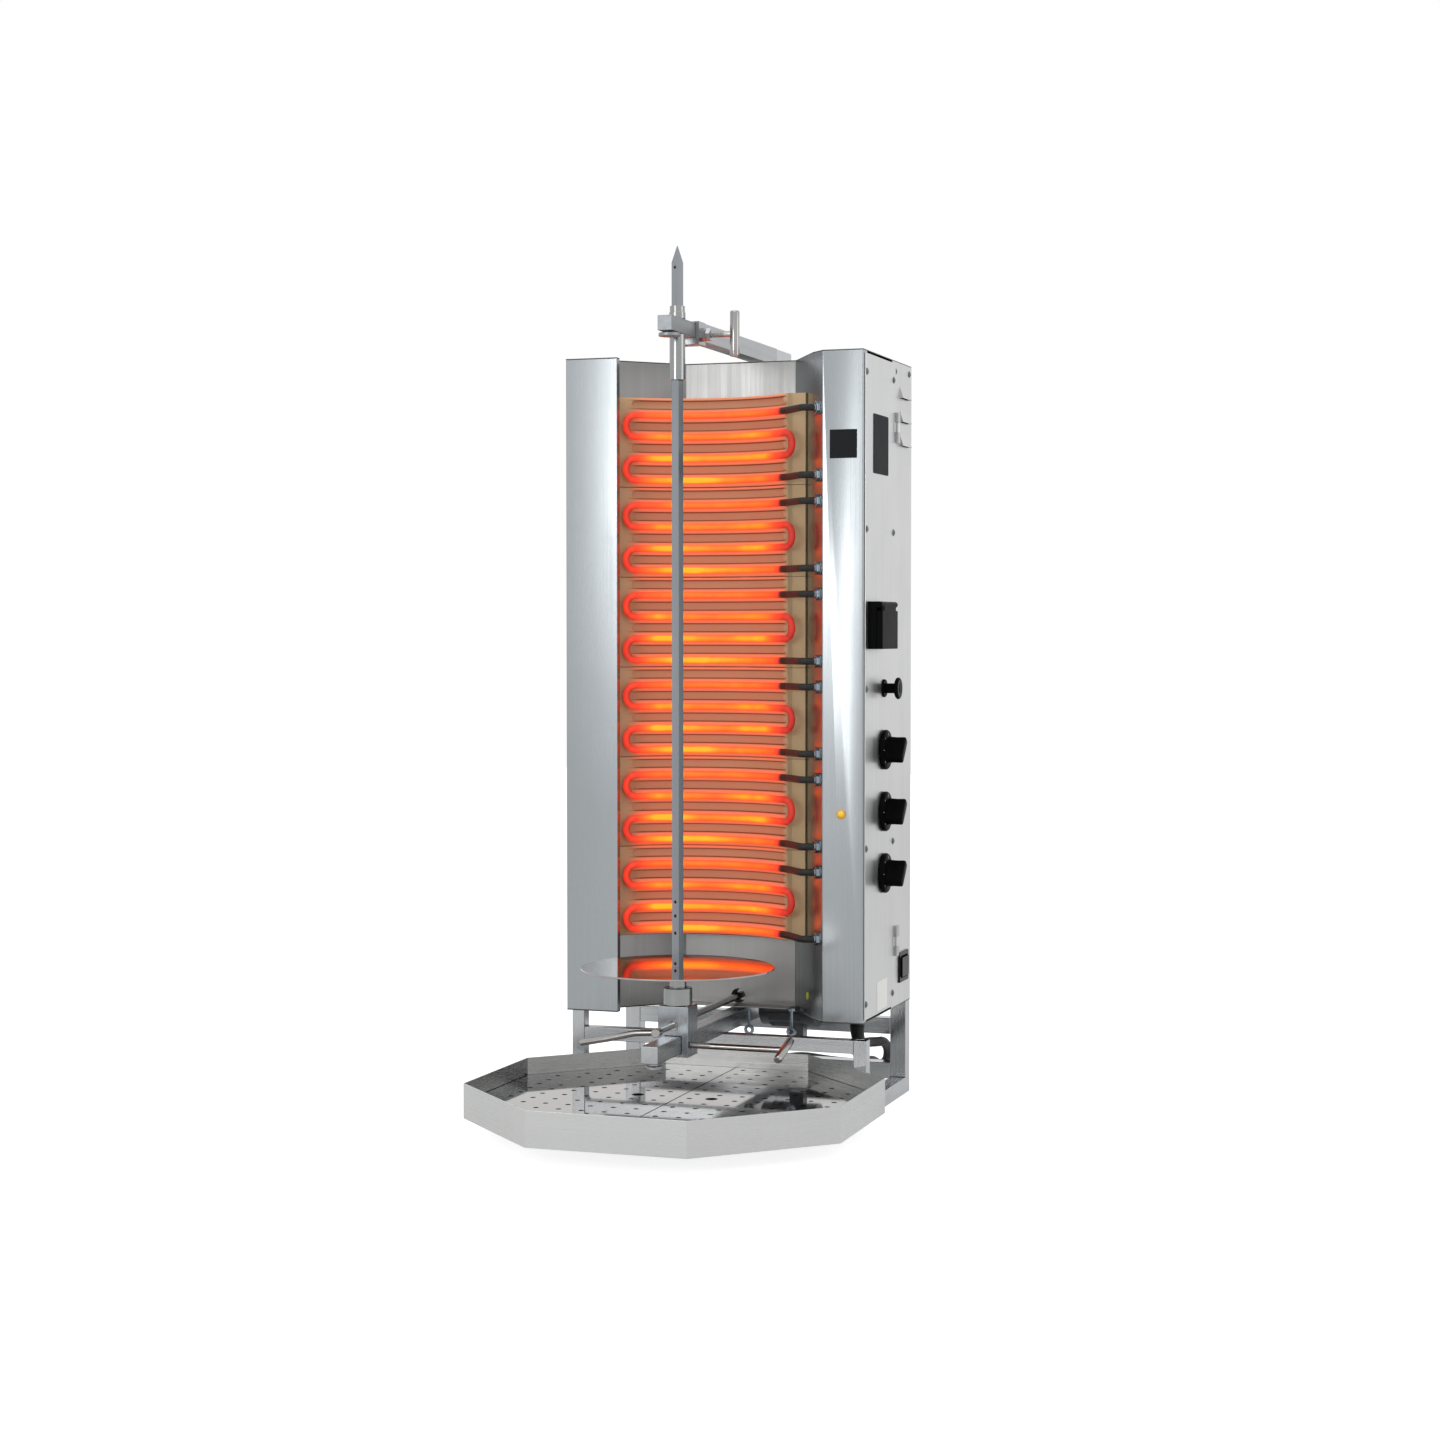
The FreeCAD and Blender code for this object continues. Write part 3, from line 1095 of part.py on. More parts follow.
# ---- mains lead ----
node("cord_gland", fuse(
    prism("-z", 6, "cord_x", "cord_y", "casing_bottom", "2 * gland_r - 2", "gland_length - 6"),
    rod("-z", "cord_x", "cord_y", "casing_bottom", "gland_r - 2.5", "gland_length", 16),
    rod("z", "cord_x", "cord_y", "casing_bottom", "gland_r - 3.1", "8", 12),
    prism("z", 6, "cord_x", "cord_y", FLOOR, "2 * gland_r - 2", "5")))
RING_R = num("coil_mean_r + cord_r")
start = V(num("cord_x"), num("cord_y"), num("casing_bottom - gland_length"))
into_coil = V(num("coil_x + coil_mean_r + cord_r"), num("coil_y"), num("cord_r + 0.1"))
route = [start, start + V(0, 0, -11), start + V(0.4, 9, -23), V(203, 152, 99), V(201, 202, 93),
         V(198, 254, 85), V(196, 303, 79), V(197, 340, 58), V(198.5, 372, 33), V(200, 397, 17),
         V(into_coil.x, 418, 9.9), into_coil]
radii = []
for before, corner, after in zip(route, route[1:], route[2:]):
    turn = (corner - before).getAngle(after - corner)
    radii.append(0.45 * min((corner - before).Length, (after - corner).Length) / math.tan(turn / 2))
edges = rounded(route, radii)
lead = tube_along(edges, num("cord_r"))
length = sum(edge.Length for edge in edges)
print("cord radii", [round(r) for r in radii])
section = 10 / 2 * math.sin(math.radians(36)) * num("cord_r") ** 2
print("cord length %.1f, volume %.0f, section x length %.0f" % (length, lead.Volume, length * section))
node("mains_cord", shaped(lead))
COIL_HIGH = "4 * cord_r + coil_layer"
node("cord_coil", cut(
    rod("z", "coil_x", "coil_y", "0.1", "coil_mean_r + 2 * cord_r", COIL_HIGH, 36),
    rod("z", "coil_x", "coil_y", "0", "coil_mean_r - 2 * cord_r", COIL_HIGH + " + 1", 36)))
turn = math.radians(num("plug_turn"))
leave = V(num("coil_x"), num("coil_y"), num("plug_r + 0.3")) + V(math.cos(turn), math.sin(turn), 0) * RING_R
heading = V(-math.sin(turn), math.cos(turn), 0)
clear_of_ring = math.sqrt(num("coil_mean_r + 2 * cord_r") ** 2 - RING_R ** 2) - 2
plug_base = leave + heading * clear_of_ring
PLUG_STEPS = [("0", "cord_r + 1"), ("plug_relief", "cord_r + 4"), ("plug_relief + 8", "plug_r - 3"),
              ("plug_relief + plug_length * 0.55", "plug_r - 3"), ("plug_relief + plug_length * 0.6", "plug_r"),
              ("plug_relief + plug_length", "plug_r")]
rings = [ring_at(plug_base + heading * num(along), heading, V(0, 0, 1), num(radius), 24)
         for along, radius in PLUG_STEPS]
moulded = Part.makeLoft([Part.makePolygon(ring + ring[:1]) for ring in rings], True, True)
mouth = [ring_at(plug_base + heading * num(along), heading, V(0, 0, 1), num("plug_r - 3"), 24)
         for along in ("plug_relief + plug_length - 30", "plug_relief + plug_length + 1")]
recess = Part.makeLoft([Part.makePolygon(ring + ring[:1]) for ring in mouth], True, True)
node("mains_plug", shaped(moulded.cut(recess)))

doc.recompute()
for made in doc.Objects:
    if "Invalid" in made.State or "Error" in made.State:
        raise SystemExit("failed: %s %s %s" % (made.Name, made.Label, made.State))
for name, made in NODES.items():
    shape = made.Shape
    if shape.isNull() or not shape.isValid() or not shape.Solids:
        raise SystemExit("bad shape: " + name)
for name, made in NODES.items():
    made.Shape.exportStep("parts/%s.step" % name)
    size = made.Shape.BoundBox
    print("%-24s solids %2d volume %10.0f  x %7.1f %7.1f  y %7.1f %7.1f  z %7.1f %7.1f" % (
        name, len(made.Shape.Solids), made.Shape.Volume, size.XMin, size.XMax, size.YMin, size.YMax,
        size.ZMin, size.ZMax))
print("nodes", len(NODES))
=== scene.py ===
"""Vertical doner grill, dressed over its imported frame.  Metres, +Z up, front towards -Y."""

import logging
import math
from dataclasses import dataclass
from enum import Enum
from typing import Optional, Sequence

import bmesh
import bpy
from mathutils import Matrix, Vector


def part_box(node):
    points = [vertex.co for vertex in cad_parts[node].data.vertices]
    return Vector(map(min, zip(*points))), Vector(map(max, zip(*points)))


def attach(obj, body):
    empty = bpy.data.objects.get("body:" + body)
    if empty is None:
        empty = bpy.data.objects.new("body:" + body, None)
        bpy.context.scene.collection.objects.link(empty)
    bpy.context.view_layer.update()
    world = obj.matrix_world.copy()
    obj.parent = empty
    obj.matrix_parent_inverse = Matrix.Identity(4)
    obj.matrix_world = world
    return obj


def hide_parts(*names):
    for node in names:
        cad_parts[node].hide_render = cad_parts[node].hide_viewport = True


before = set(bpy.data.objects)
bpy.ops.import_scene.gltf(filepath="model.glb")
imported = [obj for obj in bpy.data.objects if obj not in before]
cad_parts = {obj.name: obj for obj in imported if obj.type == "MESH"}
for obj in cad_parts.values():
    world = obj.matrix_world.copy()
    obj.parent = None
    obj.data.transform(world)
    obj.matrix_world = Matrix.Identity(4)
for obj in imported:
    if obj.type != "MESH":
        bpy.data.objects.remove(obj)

LOG = logging.getLogger("grill")
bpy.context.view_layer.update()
CRISP = 32.0  # degrees between two faces, past which their edge stays crisp
SKEWER_Y = -0.1135  # the skewer's axis stands here, at X = 0
Point = Sequence[float]
Profile = Sequence[tuple[float, float]]
HotLine = list[tuple[Vector, float]]
Rows = tuple[tuple[float, ...], ...]
Colour = tuple[float, float, float]


class Axis(Enum):
    """A direction of the shared frame, for a brush grain or for the axis of a turned part."""

    X = 0
    Y = 1
    Z = 2

    @property
    def vector(self) -> Vector:
        """The axis as a unit vector."""
        return Vector([1.0 if i == self.value else 0.0 for i in range(3)])


def mm(*values: float) -> Vector:
    """A point given in millimetres, in metres."""
    return Vector(values) * 0.001


def tint(code: str) -> Colour:
    """Turn a written colour into the linear values that a shader wants.

    Args:
        code: six hexadecimal digits, red first.

    Returns:
        Linear red, green and blue.
    """
    parts = [int(code[i : i + 2], 16) / 255 for i in (0, 2, 4)]
    return tuple(c / 12.92 if c <= 0.04045 else ((c + 0.055) / 1.055) ** 2.4 for c in parts)


def linked(name: str, data: Optional[bpy.types.ID]) -> bpy.types.Object:
    """A new object in the scene, at the origin."""
    made = bpy.data.objects.new(name, data)
    bpy.context.scene.collection.objects.link(made)
    return made


def ramped(value: float, start: float, width: float) -> float:
    """0 up to a start, 1 past its width, and an even rise between."""
    return min(1.0, max(0.0, (value - start) / width))


# ---- node trees ----


class Graph:
    """A node tree being wired, for a finish or for geometry."""

    def __init__(self, tree: bpy.types.NodeTree) -> None:
        """Start from an empty tree."""
        self.tree = tree
        tree.nodes.clear()

    def feed(self, socket: bpy.types.NodeSocket, value: object) -> None:
        """Link a socket to an input, or set the input's own value.

        Args:
            socket: the input.
            value: a socket to link, or a plain value.
        """
        if isinstance(value, bpy.types.NodeSocket):
            self.tree.links.new(value, socket)
        else:
            socket.default_value = value

    def fill(self, node: bpy.types.Node, inputs: dict) -> None:
        """Feed several inputs of a node, by socket name or number."""
        for name, value in inputs.items():
            self.feed(node.inputs[name], value)

    def add(self, kind: str, inputs: Optional[dict] = None, **settings: object) -> bpy.types.Node:
        """Add a node.

        Args:
            kind: the node's type name.
            inputs: values or source sockets, by socket name or number.
            **settings: the node's own properties.

        Returns:
            The new node.
        """
        made = self.tree.nodes.new(kind)
        for name, value in settings.items():
            setattr(made, name, value)
        self.fill(made, inputs or {})
        return made

    def sums(self, operation: str, *values: object) -> bpy.types.NodeSocket:
        """The result of one arithmetic step."""
        node = self.add("ShaderNodeMath", dict(enumerate(values)), operation=operation)
        return node.outputs[0]

    def noise(
        self, place: object, scale: float, detail: float = 3.0, rough: float = 0.55
    ) -> bpy.types.NodeSocket:
        """A noise value from 0 to 1 over a place."""
        inputs = {"Vector": place, "Scale": scale, "Detail": detail, "Roughness": rough}
        return self.add("ShaderNodeTexNoise", inputs).outputs[0]

    def mapped(self, place: object, scale: Point, turn: Point = (0.0, 0.0, 0.0)) -> bpy.types.NodeSocket:
        """A place that is stretched and turned, for a pattern with a grain."""
        inputs = {"Vector": place, "Scale": scale, "Rotation": turn}
        return self.add("ShaderNodeMapping", inputs).outputs[0]

    def spread(
        self, value: object, low: float, high: float, start: float = 0.25, end: float = 0.75
    ) -> bpy.types.NodeSocket:
        """Stretch a value from start..end over low..high."""
        inputs = {"Value": value, "From Min": start, "From Max": end, "To Min": low, "To Max": high}
        return self.add("ShaderNodeMapRange", inputs).outputs[0]

    def blend(self, share: object, first: object, second: object) -> bpy.types.NodeSocket:
        """Mix two colours by a share.

        Args:
            share: how much of the second colour there is.
            first: a colour or its source.
            second: a colour or its source.

        Returns:
            The mixed colour.
        """
        node = self.add("ShaderNodeMix", data_type="RGBA")
        for socket, value in zip((node.inputs[0], node.inputs[6], node.inputs[7]), (share, first, second)):
            if isinstance(value, tuple):
                value = (*value, 1.0)
            self.feed(socket, value)
        return node.outputs[2]

    def ramp(self, value: object, stops: Sequence[tuple[float, Colour]]) -> bpy.types.NodeSocket:
        """A colour read from a row of stops.

        Args:
            value: where on the row to read.
            stops: places from 0 to 1, each with its colour.

        Returns:
            The colour read there.
        """
        node = self.add("ShaderNodeValToRGB", {"Fac": value})
        band = node.color_ramp.elements
        while len(band) < len(stops):
            band.new(0.5)
        for element, (at, colour) in zip(band, stops):
            element.position = at
            element.color = (*colour, 1.0)
        return node.outputs[0]


# ---- finishes ----


@dataclass(frozen=True)
class Finish:
    """A surface with its own node material."""

    name: str
    colour: Colour
    rough: float = 0.5

    def material(self) -> bpy.types.Material:
        """The finish's material, made once.

        Returns:
            The material, shared by every piece with this finish.
        """
        found = bpy.data.materials.get(self.name)
        if found:
            return found
        made = bpy.data.materials.new(self.name)
        made.use_nodes = True
        graph = Graph(made.node_tree)
        plain = (*self.colour, 1.0)
        shader = graph.add("ShaderNodeBsdfPrincipled", {"Base Color": plain, "Roughness": self.rough})
        graph.add("ShaderNodeOutputMaterial", {"Surface": shader.outputs[0]})
        self.dress(graph, shader, graph.add("ShaderNodeTexCoord").outputs["Object"])
        made.diffuse_color = plain
        return made

    def dress(self, graph: Graph, shader: bpy.types.Node, place: bpy.types.NodeSocket) -> None:
        """Wire the detail of the surface."""

    def relief(self, graph: Graph, height: object, strength: float, depth: float) -> bpy.types.NodeSocket:
        """The normal of a surface with a fine bump."""
        inputs = {"Strength": strength, "Distance": depth, "Height": height}
        return graph.add("ShaderNodeBump", inputs).outputs[0]


@dataclass(frozen=True)
class Brushed(Finish):
    """Stainless sheet or tube with a brush grain along one axis, or both level ones on a tray's walls."""

    shade: Colour = (0.2, 0.2, 0.2)
    grain: Axis = Axis.Z
    streak: float = 0.35
    wear: float = 0.08
    walls: bool = False
    fine: tuple[float, float] = (4.0, 900.0)
    broad: tuple[float, float] = (1.5, 130.0)

    def dress(self, graph: Graph, shader: bpy.types.Node, place: bpy.types.NodeSocket) -> None:
        """Wire long fine streaks, broad clouds and a soft bump.

        Args:
            graph: the material's node tree.
            shader: its main shader.
            place: the place on the piece.
        """
        lengthwise = (0, 1) if self.walls else (self.grain.value,)
        fine, broad = (
            [along if i in lengthwise else across for i in range(3)]
            for along, across in (self.fine, self.broad)
        )
        lines = graph.noise(graph.mapped(place, fine), 1.0, 4.0, 0.65)
        bands = graph.noise(graph.mapped(place, broad), 1.0, 2.0)
        cloud = graph.noise(place, 6.0, 4.0, 0.6)
        both = graph.sums("MULTIPLY_ADD", lines, 0.6, graph.sums("MULTIPLY", bands, 0.4))
        share = graph.sums("ADD", graph.spread(both, 0.0, self.streak), graph.spread(cloud, 0.0, 0.25))
        worn = graph.spread(both, self.rough - self.wear, self.rough + self.wear)
        graph.fill(shader, {
            "Metallic": 1.0,
            "Base Color": graph.blend(share, self.colour, self.shade),
            "Roughness": graph.sums("ADD", worn, graph.spread(cloud, -0.03, 0.05)),
            "Normal": self.relief(graph, both, 0.06, 0.0002),
        })


@dataclass(frozen=True)
class Polished(Finish):
    """Bright turned or rolled steel with faint scratches and smears."""

    shade: Colour = (0.3, 0.3, 0.3)
    smear: float = 0.06
    marks: float = 0.03
    scratch: tuple[float, float, float] = (900.0, 30.0, 300.0)
    slant: tuple[float, float, float] = (0.3, 0.2, 0.7)

    def dress(self, graph: Graph, shader: bpy.types.Node, place: bpy.types.NodeSocket) -> None:
        """Wire smears, hairline scratches and a faint bump.

        Args:
            graph: the material's node tree.
            shader: its main shader.
            place: the place on the piece.
        """
        smears = graph.noise(place, 14.0, 5.0, 0.6)
        fine = graph.noise(place, 700.0, 2.0)
        scratch = graph.noise(graph.mapped(place, self.scratch, self.slant), 1.0, 3.0)
        smeared = graph.spread(smears, self.rough, self.rough + self.smear)
        graph.fill(shader, {
            "Metallic": 1.0,
            "Base Color": graph.blend(graph.spread(smears, 0.0, 0.4), self.colour, self.shade),
            "Roughness": graph.sums("ADD", smeared, graph.spread(scratch, -0.01, 0.03)),
            "Normal": self.relief(graph, graph.sums("ADD", fine, scratch), self.marks, 0.0001),
        })


@dataclass(frozen=True)
class Plated(Finish):
    """Zinc plate with a bluish bloom."""

    bloom: Colour = (0.4, 0.5, 0.7)

    def dress(self, graph: Graph, shader: bpy.types.Node, place: bpy.types.NodeSocket) -> None:
        """Wire the bloom in soft patches over a slightly grainy metal.

        Args:
            graph: the material's node tree.
            shader: its main shader.
            place: the place on the piece.
        """
        patch = graph.noise(place, 160.0, 3.0)
        grit = graph.noise(place, 1500.0, 2.0)
        graph.fill(shader, {
            "Metallic": 1.0,
            "Base Color": graph.blend(graph.spread(patch, 0.0, 0.6), self.colour, self.bloom),
            "Roughness": graph.spread(grit, self.rough - 0.06, self.rough + 0.1),
            "Normal": self.relief(graph, grit, 0.08, 0.0001),
        })


@dataclass(frozen=True)
class FiredClay(Finish):
    """Cast ceramic board with painted light: a dull red glow painted on the ribs behind each row for the
    elements' light, painted dark shade lines at the groove edges, and a pinker tint over the heated zone that
    is partly scorching and partly painted glow.
    """

    # the pinker tint of the heated zone: partly scorching, partly painted glow from the elements
    groove: Colour = (0.5, 0.3, 0.2)
    pale: Colour = (0.6, 0.5, 0.35)
    # painted shade: the colour of the dark lines along the groove edges
    line: Colour = (0.2, 0.08, 0.04)
    foot: float = 0.2575
    pitch: float = 0.137
    row: float = 0.033
    first: float = 0.0105
    rib: float = 0.01025
    # painted glow: the elements' red light on the ribs, painted as emission of the clay
    painted_glow: Colour = (0.5, 0.05, 0.014)
    left: tuple[float, float] = (-0.152, -0.134)
    right: tuple[float, float] = (0.094, 0.1)

    def dress(self, graph: Graph, shader: bpy.types.Node, place: bpy.types.NodeSocket) -> None:
        """Wire the rows of ribs and grooves with their painted glow and painted shade lines, the mottling,
        the heated zone's tint and a gritty surface.

        Args:
            graph: the material's node tree.
            shader: its main shader.
            place: the place on the piece.
        """
        parts = graph.add("ShaderNodeSeparateXYZ", {"Vector": place}).outputs
        mottle = graph.noise(place, 35.0, 5.0, 0.65)
        grit = graph.noise(place, 900.0, 3.0, 0.7)
        past_left = graph.spread(parts[0], 0.0, 1.0, *self.left)
        inside = graph.sums("MULTIPLY", past_left, graph.spread(parts[0], 1.0, 0.0, *self.right))
        rise = graph.sums("SUBTRACT", parts[2], self.foot)
        rise = graph.sums("MULTIPLY", graph.sums("FRACT", graph.sums("DIVIDE", rise, self.pitch)), self.pitch)
        turn = graph.sums(
            "FRACT", graph.sums("DIVIDE", graph.sums("ADD", rise, self.row / 2 - self.first), self.row)
        )
        away = graph.sums("MULTIPLY", graph.sums("ABSOLUTE", graph.sums("SUBTRACT", turn, 0.5)), self.row)
        rib = graph.spread(away, 1.0, 0.0, self.rib - 0.0006, self.rib + 0.0004)
        # painted shade: a thin dark line where each rib drops into its groove, in the heated zone
        edge = graph.sums("ABSOLUTE", graph.sums("SUBTRACT", away, self.rib))
        edge = graph.sums("MULTIPLY", graph.spread(edge, 0.85, 0.0, 0.0002, 0.0016), inside)
        base = graph.blend(graph.spread(mottle, 0.0, 0.6), self.colour, self.pale)
        # pinker tint over the heated zone, partly scorching and partly painted glow
        scorch_and_glow_tint = graph.sums("MULTIPLY", inside, graph.spread(mottle, 0.7, 1.0))
        base = graph.blend(scorch_and_glow_tint, base, self.groove)
        # painted glow: strongest on the rib beside each row, kept off the painted shade lines
        near = graph.sums("MULTIPLY", graph.spread(away, 0.85, 0.4, 0.005, self.rib), rib)
        near = graph.sums("MULTIPLY", near, graph.sums("SUBTRACT", 1.0, edge))
        uneven = graph.sums("MULTIPLY", inside, graph.spread(mottle, 0.8, 1.1))
        glow = graph.sums("MULTIPLY", graph.sums("ADD", near, 0.1), uneven)
        graph.fill(shader, {
            # painted shade lines at the groove edges
            "Base Color": graph.blend(edge, base, self.line),
            "Emission Color": graph.blend(glow, (0.0, 0.0, 0.0), self.painted_glow),
            "Emission Strength": 1.0,
            "Specular IOR Level": 0.1,
            "Roughness": graph.spread(grit, self.rough - 0.08, self.rough + 0.08),
            "Normal": self.relief(graph, graph.sums("ADD", grit, mottle), 0.25, 0.0004),
        })


@dataclass(frozen=True)
class Glowing(Finish):
    """Sheathed heating element: its map runs from the dark cold end to the yellow core, and its second
    channel paints the glow dimmer on the side away from the camera.
    """

    strength: float = 2.4
    oxide: Colour = tint("343230")

    def dress(self, graph: Graph, shader: bpy.types.Node, place: bpy.types.NodeSocket) -> None:
        """Wire the glow from the element's own map, with a dull oxide skin under it.

        Args:
            graph: the material's node tree.
            shader: its main shader.
            place: the place on the piece.
        """
        heat_map = graph.add("ShaderNodeUVMap", uv_map="heat").outputs[0]
        parts = graph.add("ShaderNodeSeparateXYZ", {"Vector": heat_map}).outputs
        flicker = graph.noise(place, 28.0, 2.0)
        # painted shading round the tube: the map's second channel dims the glow away from the camera
        side = graph.sums("MULTIPLY", parts[1], graph.spread(flicker, 0.9, 1.08))
        heat = graph.sums("MULTIPLY", parts[0], side)
        k = 1.0 / self.strength
        stops = [
            (0.0, (0.0, 0.0, 0.0)), (0.1, (0.004, 0.0, 0.0)), (0.22, (0.3 * k, 0.006 * k, 0.004 * k)),
            (0.36, (0.85 * k, 0.04 * k, 0.016 * k)), (0.5, (1.4 * k, 0.075 * k, 0.014 * k)),
            (0.66, (2.2 * k, 0.14 * k, 0.01 * k)), (0.8, (0.9, 0.25 * k, 0.007 * k)),
            (0.95, (1.0, 0.5 * k, 0.008 * k)),
        ]
        skin = graph.noise(place, 240.0, 4.0)
        graph.fill(shader, {
            "Base Color": graph.blend(graph.spread(skin, 0.0, 0.7), self.colour, self.oxide),
            "Emission Color": graph.ramp(heat, stops),
            "Emission Strength": self.strength,
            "Specular IOR Level": 0.25,
            "Roughness": graph.spread(skin, self.rough - 0.1, self.rough + 0.1),
            "Normal": self.relief(graph, skin, 0.1, 0.0001),
        })


@dataclass(frozen=True)
class Moulded(Finish):
    """Plastic, rubber or paint with a fine moulded or sprayed texture."""

    dust: Colour = (0.1, 0.1, 0.1)
    texture: float = 900.0
    depth: float = 0.00012
    coat: float = 0.0
    glow: float = 0.0
    shine: float = 0.5

    def dress(self, graph: Graph, shader: bpy.types.Node, place: bpy.types.NodeSocket) -> None:
        """Wire dust and handling marks over the moulded texture.

        Args:
            graph: the material's node tree.
            shader: its main shader.
            place: the place on the piece.
        """
        grain = graph.noise(place, self.texture, 2.0)
        marks = graph.noise(place, 22.0, 5.0, 0.65)
        dusty = graph.blend(graph.spread(marks, 0.0, 0.35, 0.4, 0.8), self.colour, self.dust)
        handled = graph.spread(marks, self.rough - 0.05, self.rough + 0.08)
        graph.fill(shader, {
            "Base Color": dusty,
            "Coat Weight": self.coat,
            "Coat Roughness": 0.12,
            "Specular IOR Level": self.shine,
            "Roughness": graph.sums("ADD", handled, graph.spread(grain, -0.04, 0.04)),
            "Normal": self.relief(graph, grain, 0.2, self.depth),
        })
        if self.glow:
            graph.fill(shader, {"Emission Color": dusty, "Emission Strength": self.glow})


CASING = Brushed("casing_brushed", tint("A2A7AA"), 0.24, tint("92979A"), Axis.Z, 0.45, 0.06)
# painted light: a lighter copy of the casing steel, for the bright side and back panels
CASING_PAINTED_LIGHTER = Brushed("casing_side_brushed", tint("CECFCE"), 0.33, tint("BBBCBC"), Axis.Z, 0.4)
# painted shade: a darker copy of the casing steel for the cavity liner, against the lamp's reflection on its
# back panel
LINER_PAINTED_DARKER = Brushed("liner_satin", tint("9E9E9D"), 0.34, tint("8A8A89"), Axis.Z, 0.4)
# painted shade: dark steel for the top cap and bottom plate, whose edges are seen from below in shade
CAP_PAINTED_SHADE = Brushed("cap_edge", tint("5A5857"), 0.4, tint("454443"), Axis.X, 0.4)
TUBE_X = Brushed("tube_brushed_x", tint("BBBEC0"), 0.26, tint("A0A3A5"), Axis.X, 0.4)
TUBE_Y = Brushed("tube_brushed_y", tint("BBBEC0"), 0.26, tint("A0A3A5"), Axis.Y, 0.4)
TUBE_Z = Brushed("tube_brushed_z", tint("BBBEC0"), 0.26, tint("A0A3A5"), Axis.Z, 0.4)
BLOCK = Brushed("block_machined", tint("A6ABAF"), 0.24, tint("8B9095"), Axis.Z, 0.45)
# painted shade: a darker, rougher steel for the bearing bar, against a lamp highlight on its end face
BAR_PAINTED_DARKER = Brushed("bar_brushed", tint("989B9E"), 0.45, tint("85898C"), Axis.Y, 0.4)
# painted shade: a darker copy of the tube steel for the upper arm's bright side face
TUBE_ARM_PAINTED_DARKER = Brushed("arm_brushed", tint("ACAEB0"), 0.32, tint("96999C"), Axis.Y, 0.4)
HINGE = Brushed("hinge_steel", tint("C9C2B8"), 0.35, tint("A89F92"), Axis.Z, 0.4)
SKEWER = Brushed("skewer_ground", tint("9A9EA2"), 0.2, tint("777B80"), Axis.Z, 0.4, 0.05)
# painted light: a lighter copy of the steel for the tray, for the floor's light on its walls
TRAY_PAINTED_LIGHTER = Brushed("tray_brushed", tint("C8CAC9"), 0.26, tint("B6B8B8"), Axis.X, 0.35, 0.05, True)
MIRROR = Polished("mirror_sheet", tint("8F8B89"), 0.03, tint("827E7C"), 0.02, 0.0)
DISC = Polished("disc_sheet", tint("ACA7A4"), 0.04, tint("9A9592"), 0.03, 0.005)
BRIGHT = Polished("bright_turned", tint("999A9A"), 0.16, tint("808283"))
HANDLE = Polished("handle_bright", tint("A8A6A4"), 0.14, tint("8A8785"))
ZINC = Plated("zinc_plate", tint("8E979E"), 0.22, tint("76848F"))
# painted light on the clay: red glow on the ribs, dark shade lines at the groove edges
CLAY_PAINTED_LIGHT = FiredClay("fired_clay", tint("C9AB84"), 0.85, tint("C69A7A"), tint("D3BA95"), tint("6A3822"))
GLOW = Glowing("glowing_sheath", tint("1B1B1C"), 0.45)
BLACK = Moulded("black_moulded", tint("0C0C0D"), 0.26, tint("161618"), shine=0.01)
BLACK_FACE = Moulded("black_face", tint("101113"), 0.14, tint("1A1B1E"), shine=0.02)
SWITCH = Moulded("switch_moulded", tint("0A0B0D"), 0.22, tint("15171A"), shine=0.1)
RUBBER = Moulded("lead_rubber", tint("0F0F10"), 0.45, tint("1C1C1E"), 500.0, shine=0.15)
GLAND = Moulded("gland_moulded", tint("141516"), 0.4, tint("212224"), shine=0.25)
PAINT = Moulded("motor_enamel", tint("3A4046"), 0.35, tint("4B5157"), 260.0, coat=0.3)
HOUSING = Moulded("gear_casting", tint("7D8184"), 0.5, tint("94979A"), 420.0, 0.0003)
MARKS = Moulded("pale_marks", tint("C9CBCC"), 0.5, tint("A8AAAC"))
LABEL = Moulded("white_film", tint("ECECE8"), 0.4, tint("D9D9D2"), 300.0, 0.00005)
BADGE = Moulded("black_film", tint("14161A"), 0.2, tint("1E2126"), 300.0, 0.00005, shine=0.04)
PLATE = Moulded("black_plate", tint("1B1D1F"), 0.3, tint("2A2C2F"), 700.0, 0.00006, shine=0.01)
SCREW = Plated("screw_steel", tint("6E7275"), 0.28, tint("4E5357"))
LENS = Moulded("lamp_lens", tint("D8E020"), 0.12, tint("F2D060"), 200.0, 0.00005, coat=0.8, glow=0.25)
AMBER = Moulded("lamp_ring", tint("E09020"), 0.2, tint("C87818"), 200.0, 0.00005, coat=0.6, glow=0.15)
SPOT = Moulded("earth_spot", tint("C6D42C"), 0.35, tint("AEBE30"), 300.0, 0.00005)
SOCKET_PINS = Polished("contact_brass", tint("C9A860"), 0.2, tint("A88848"))


# ---- mesh making ----


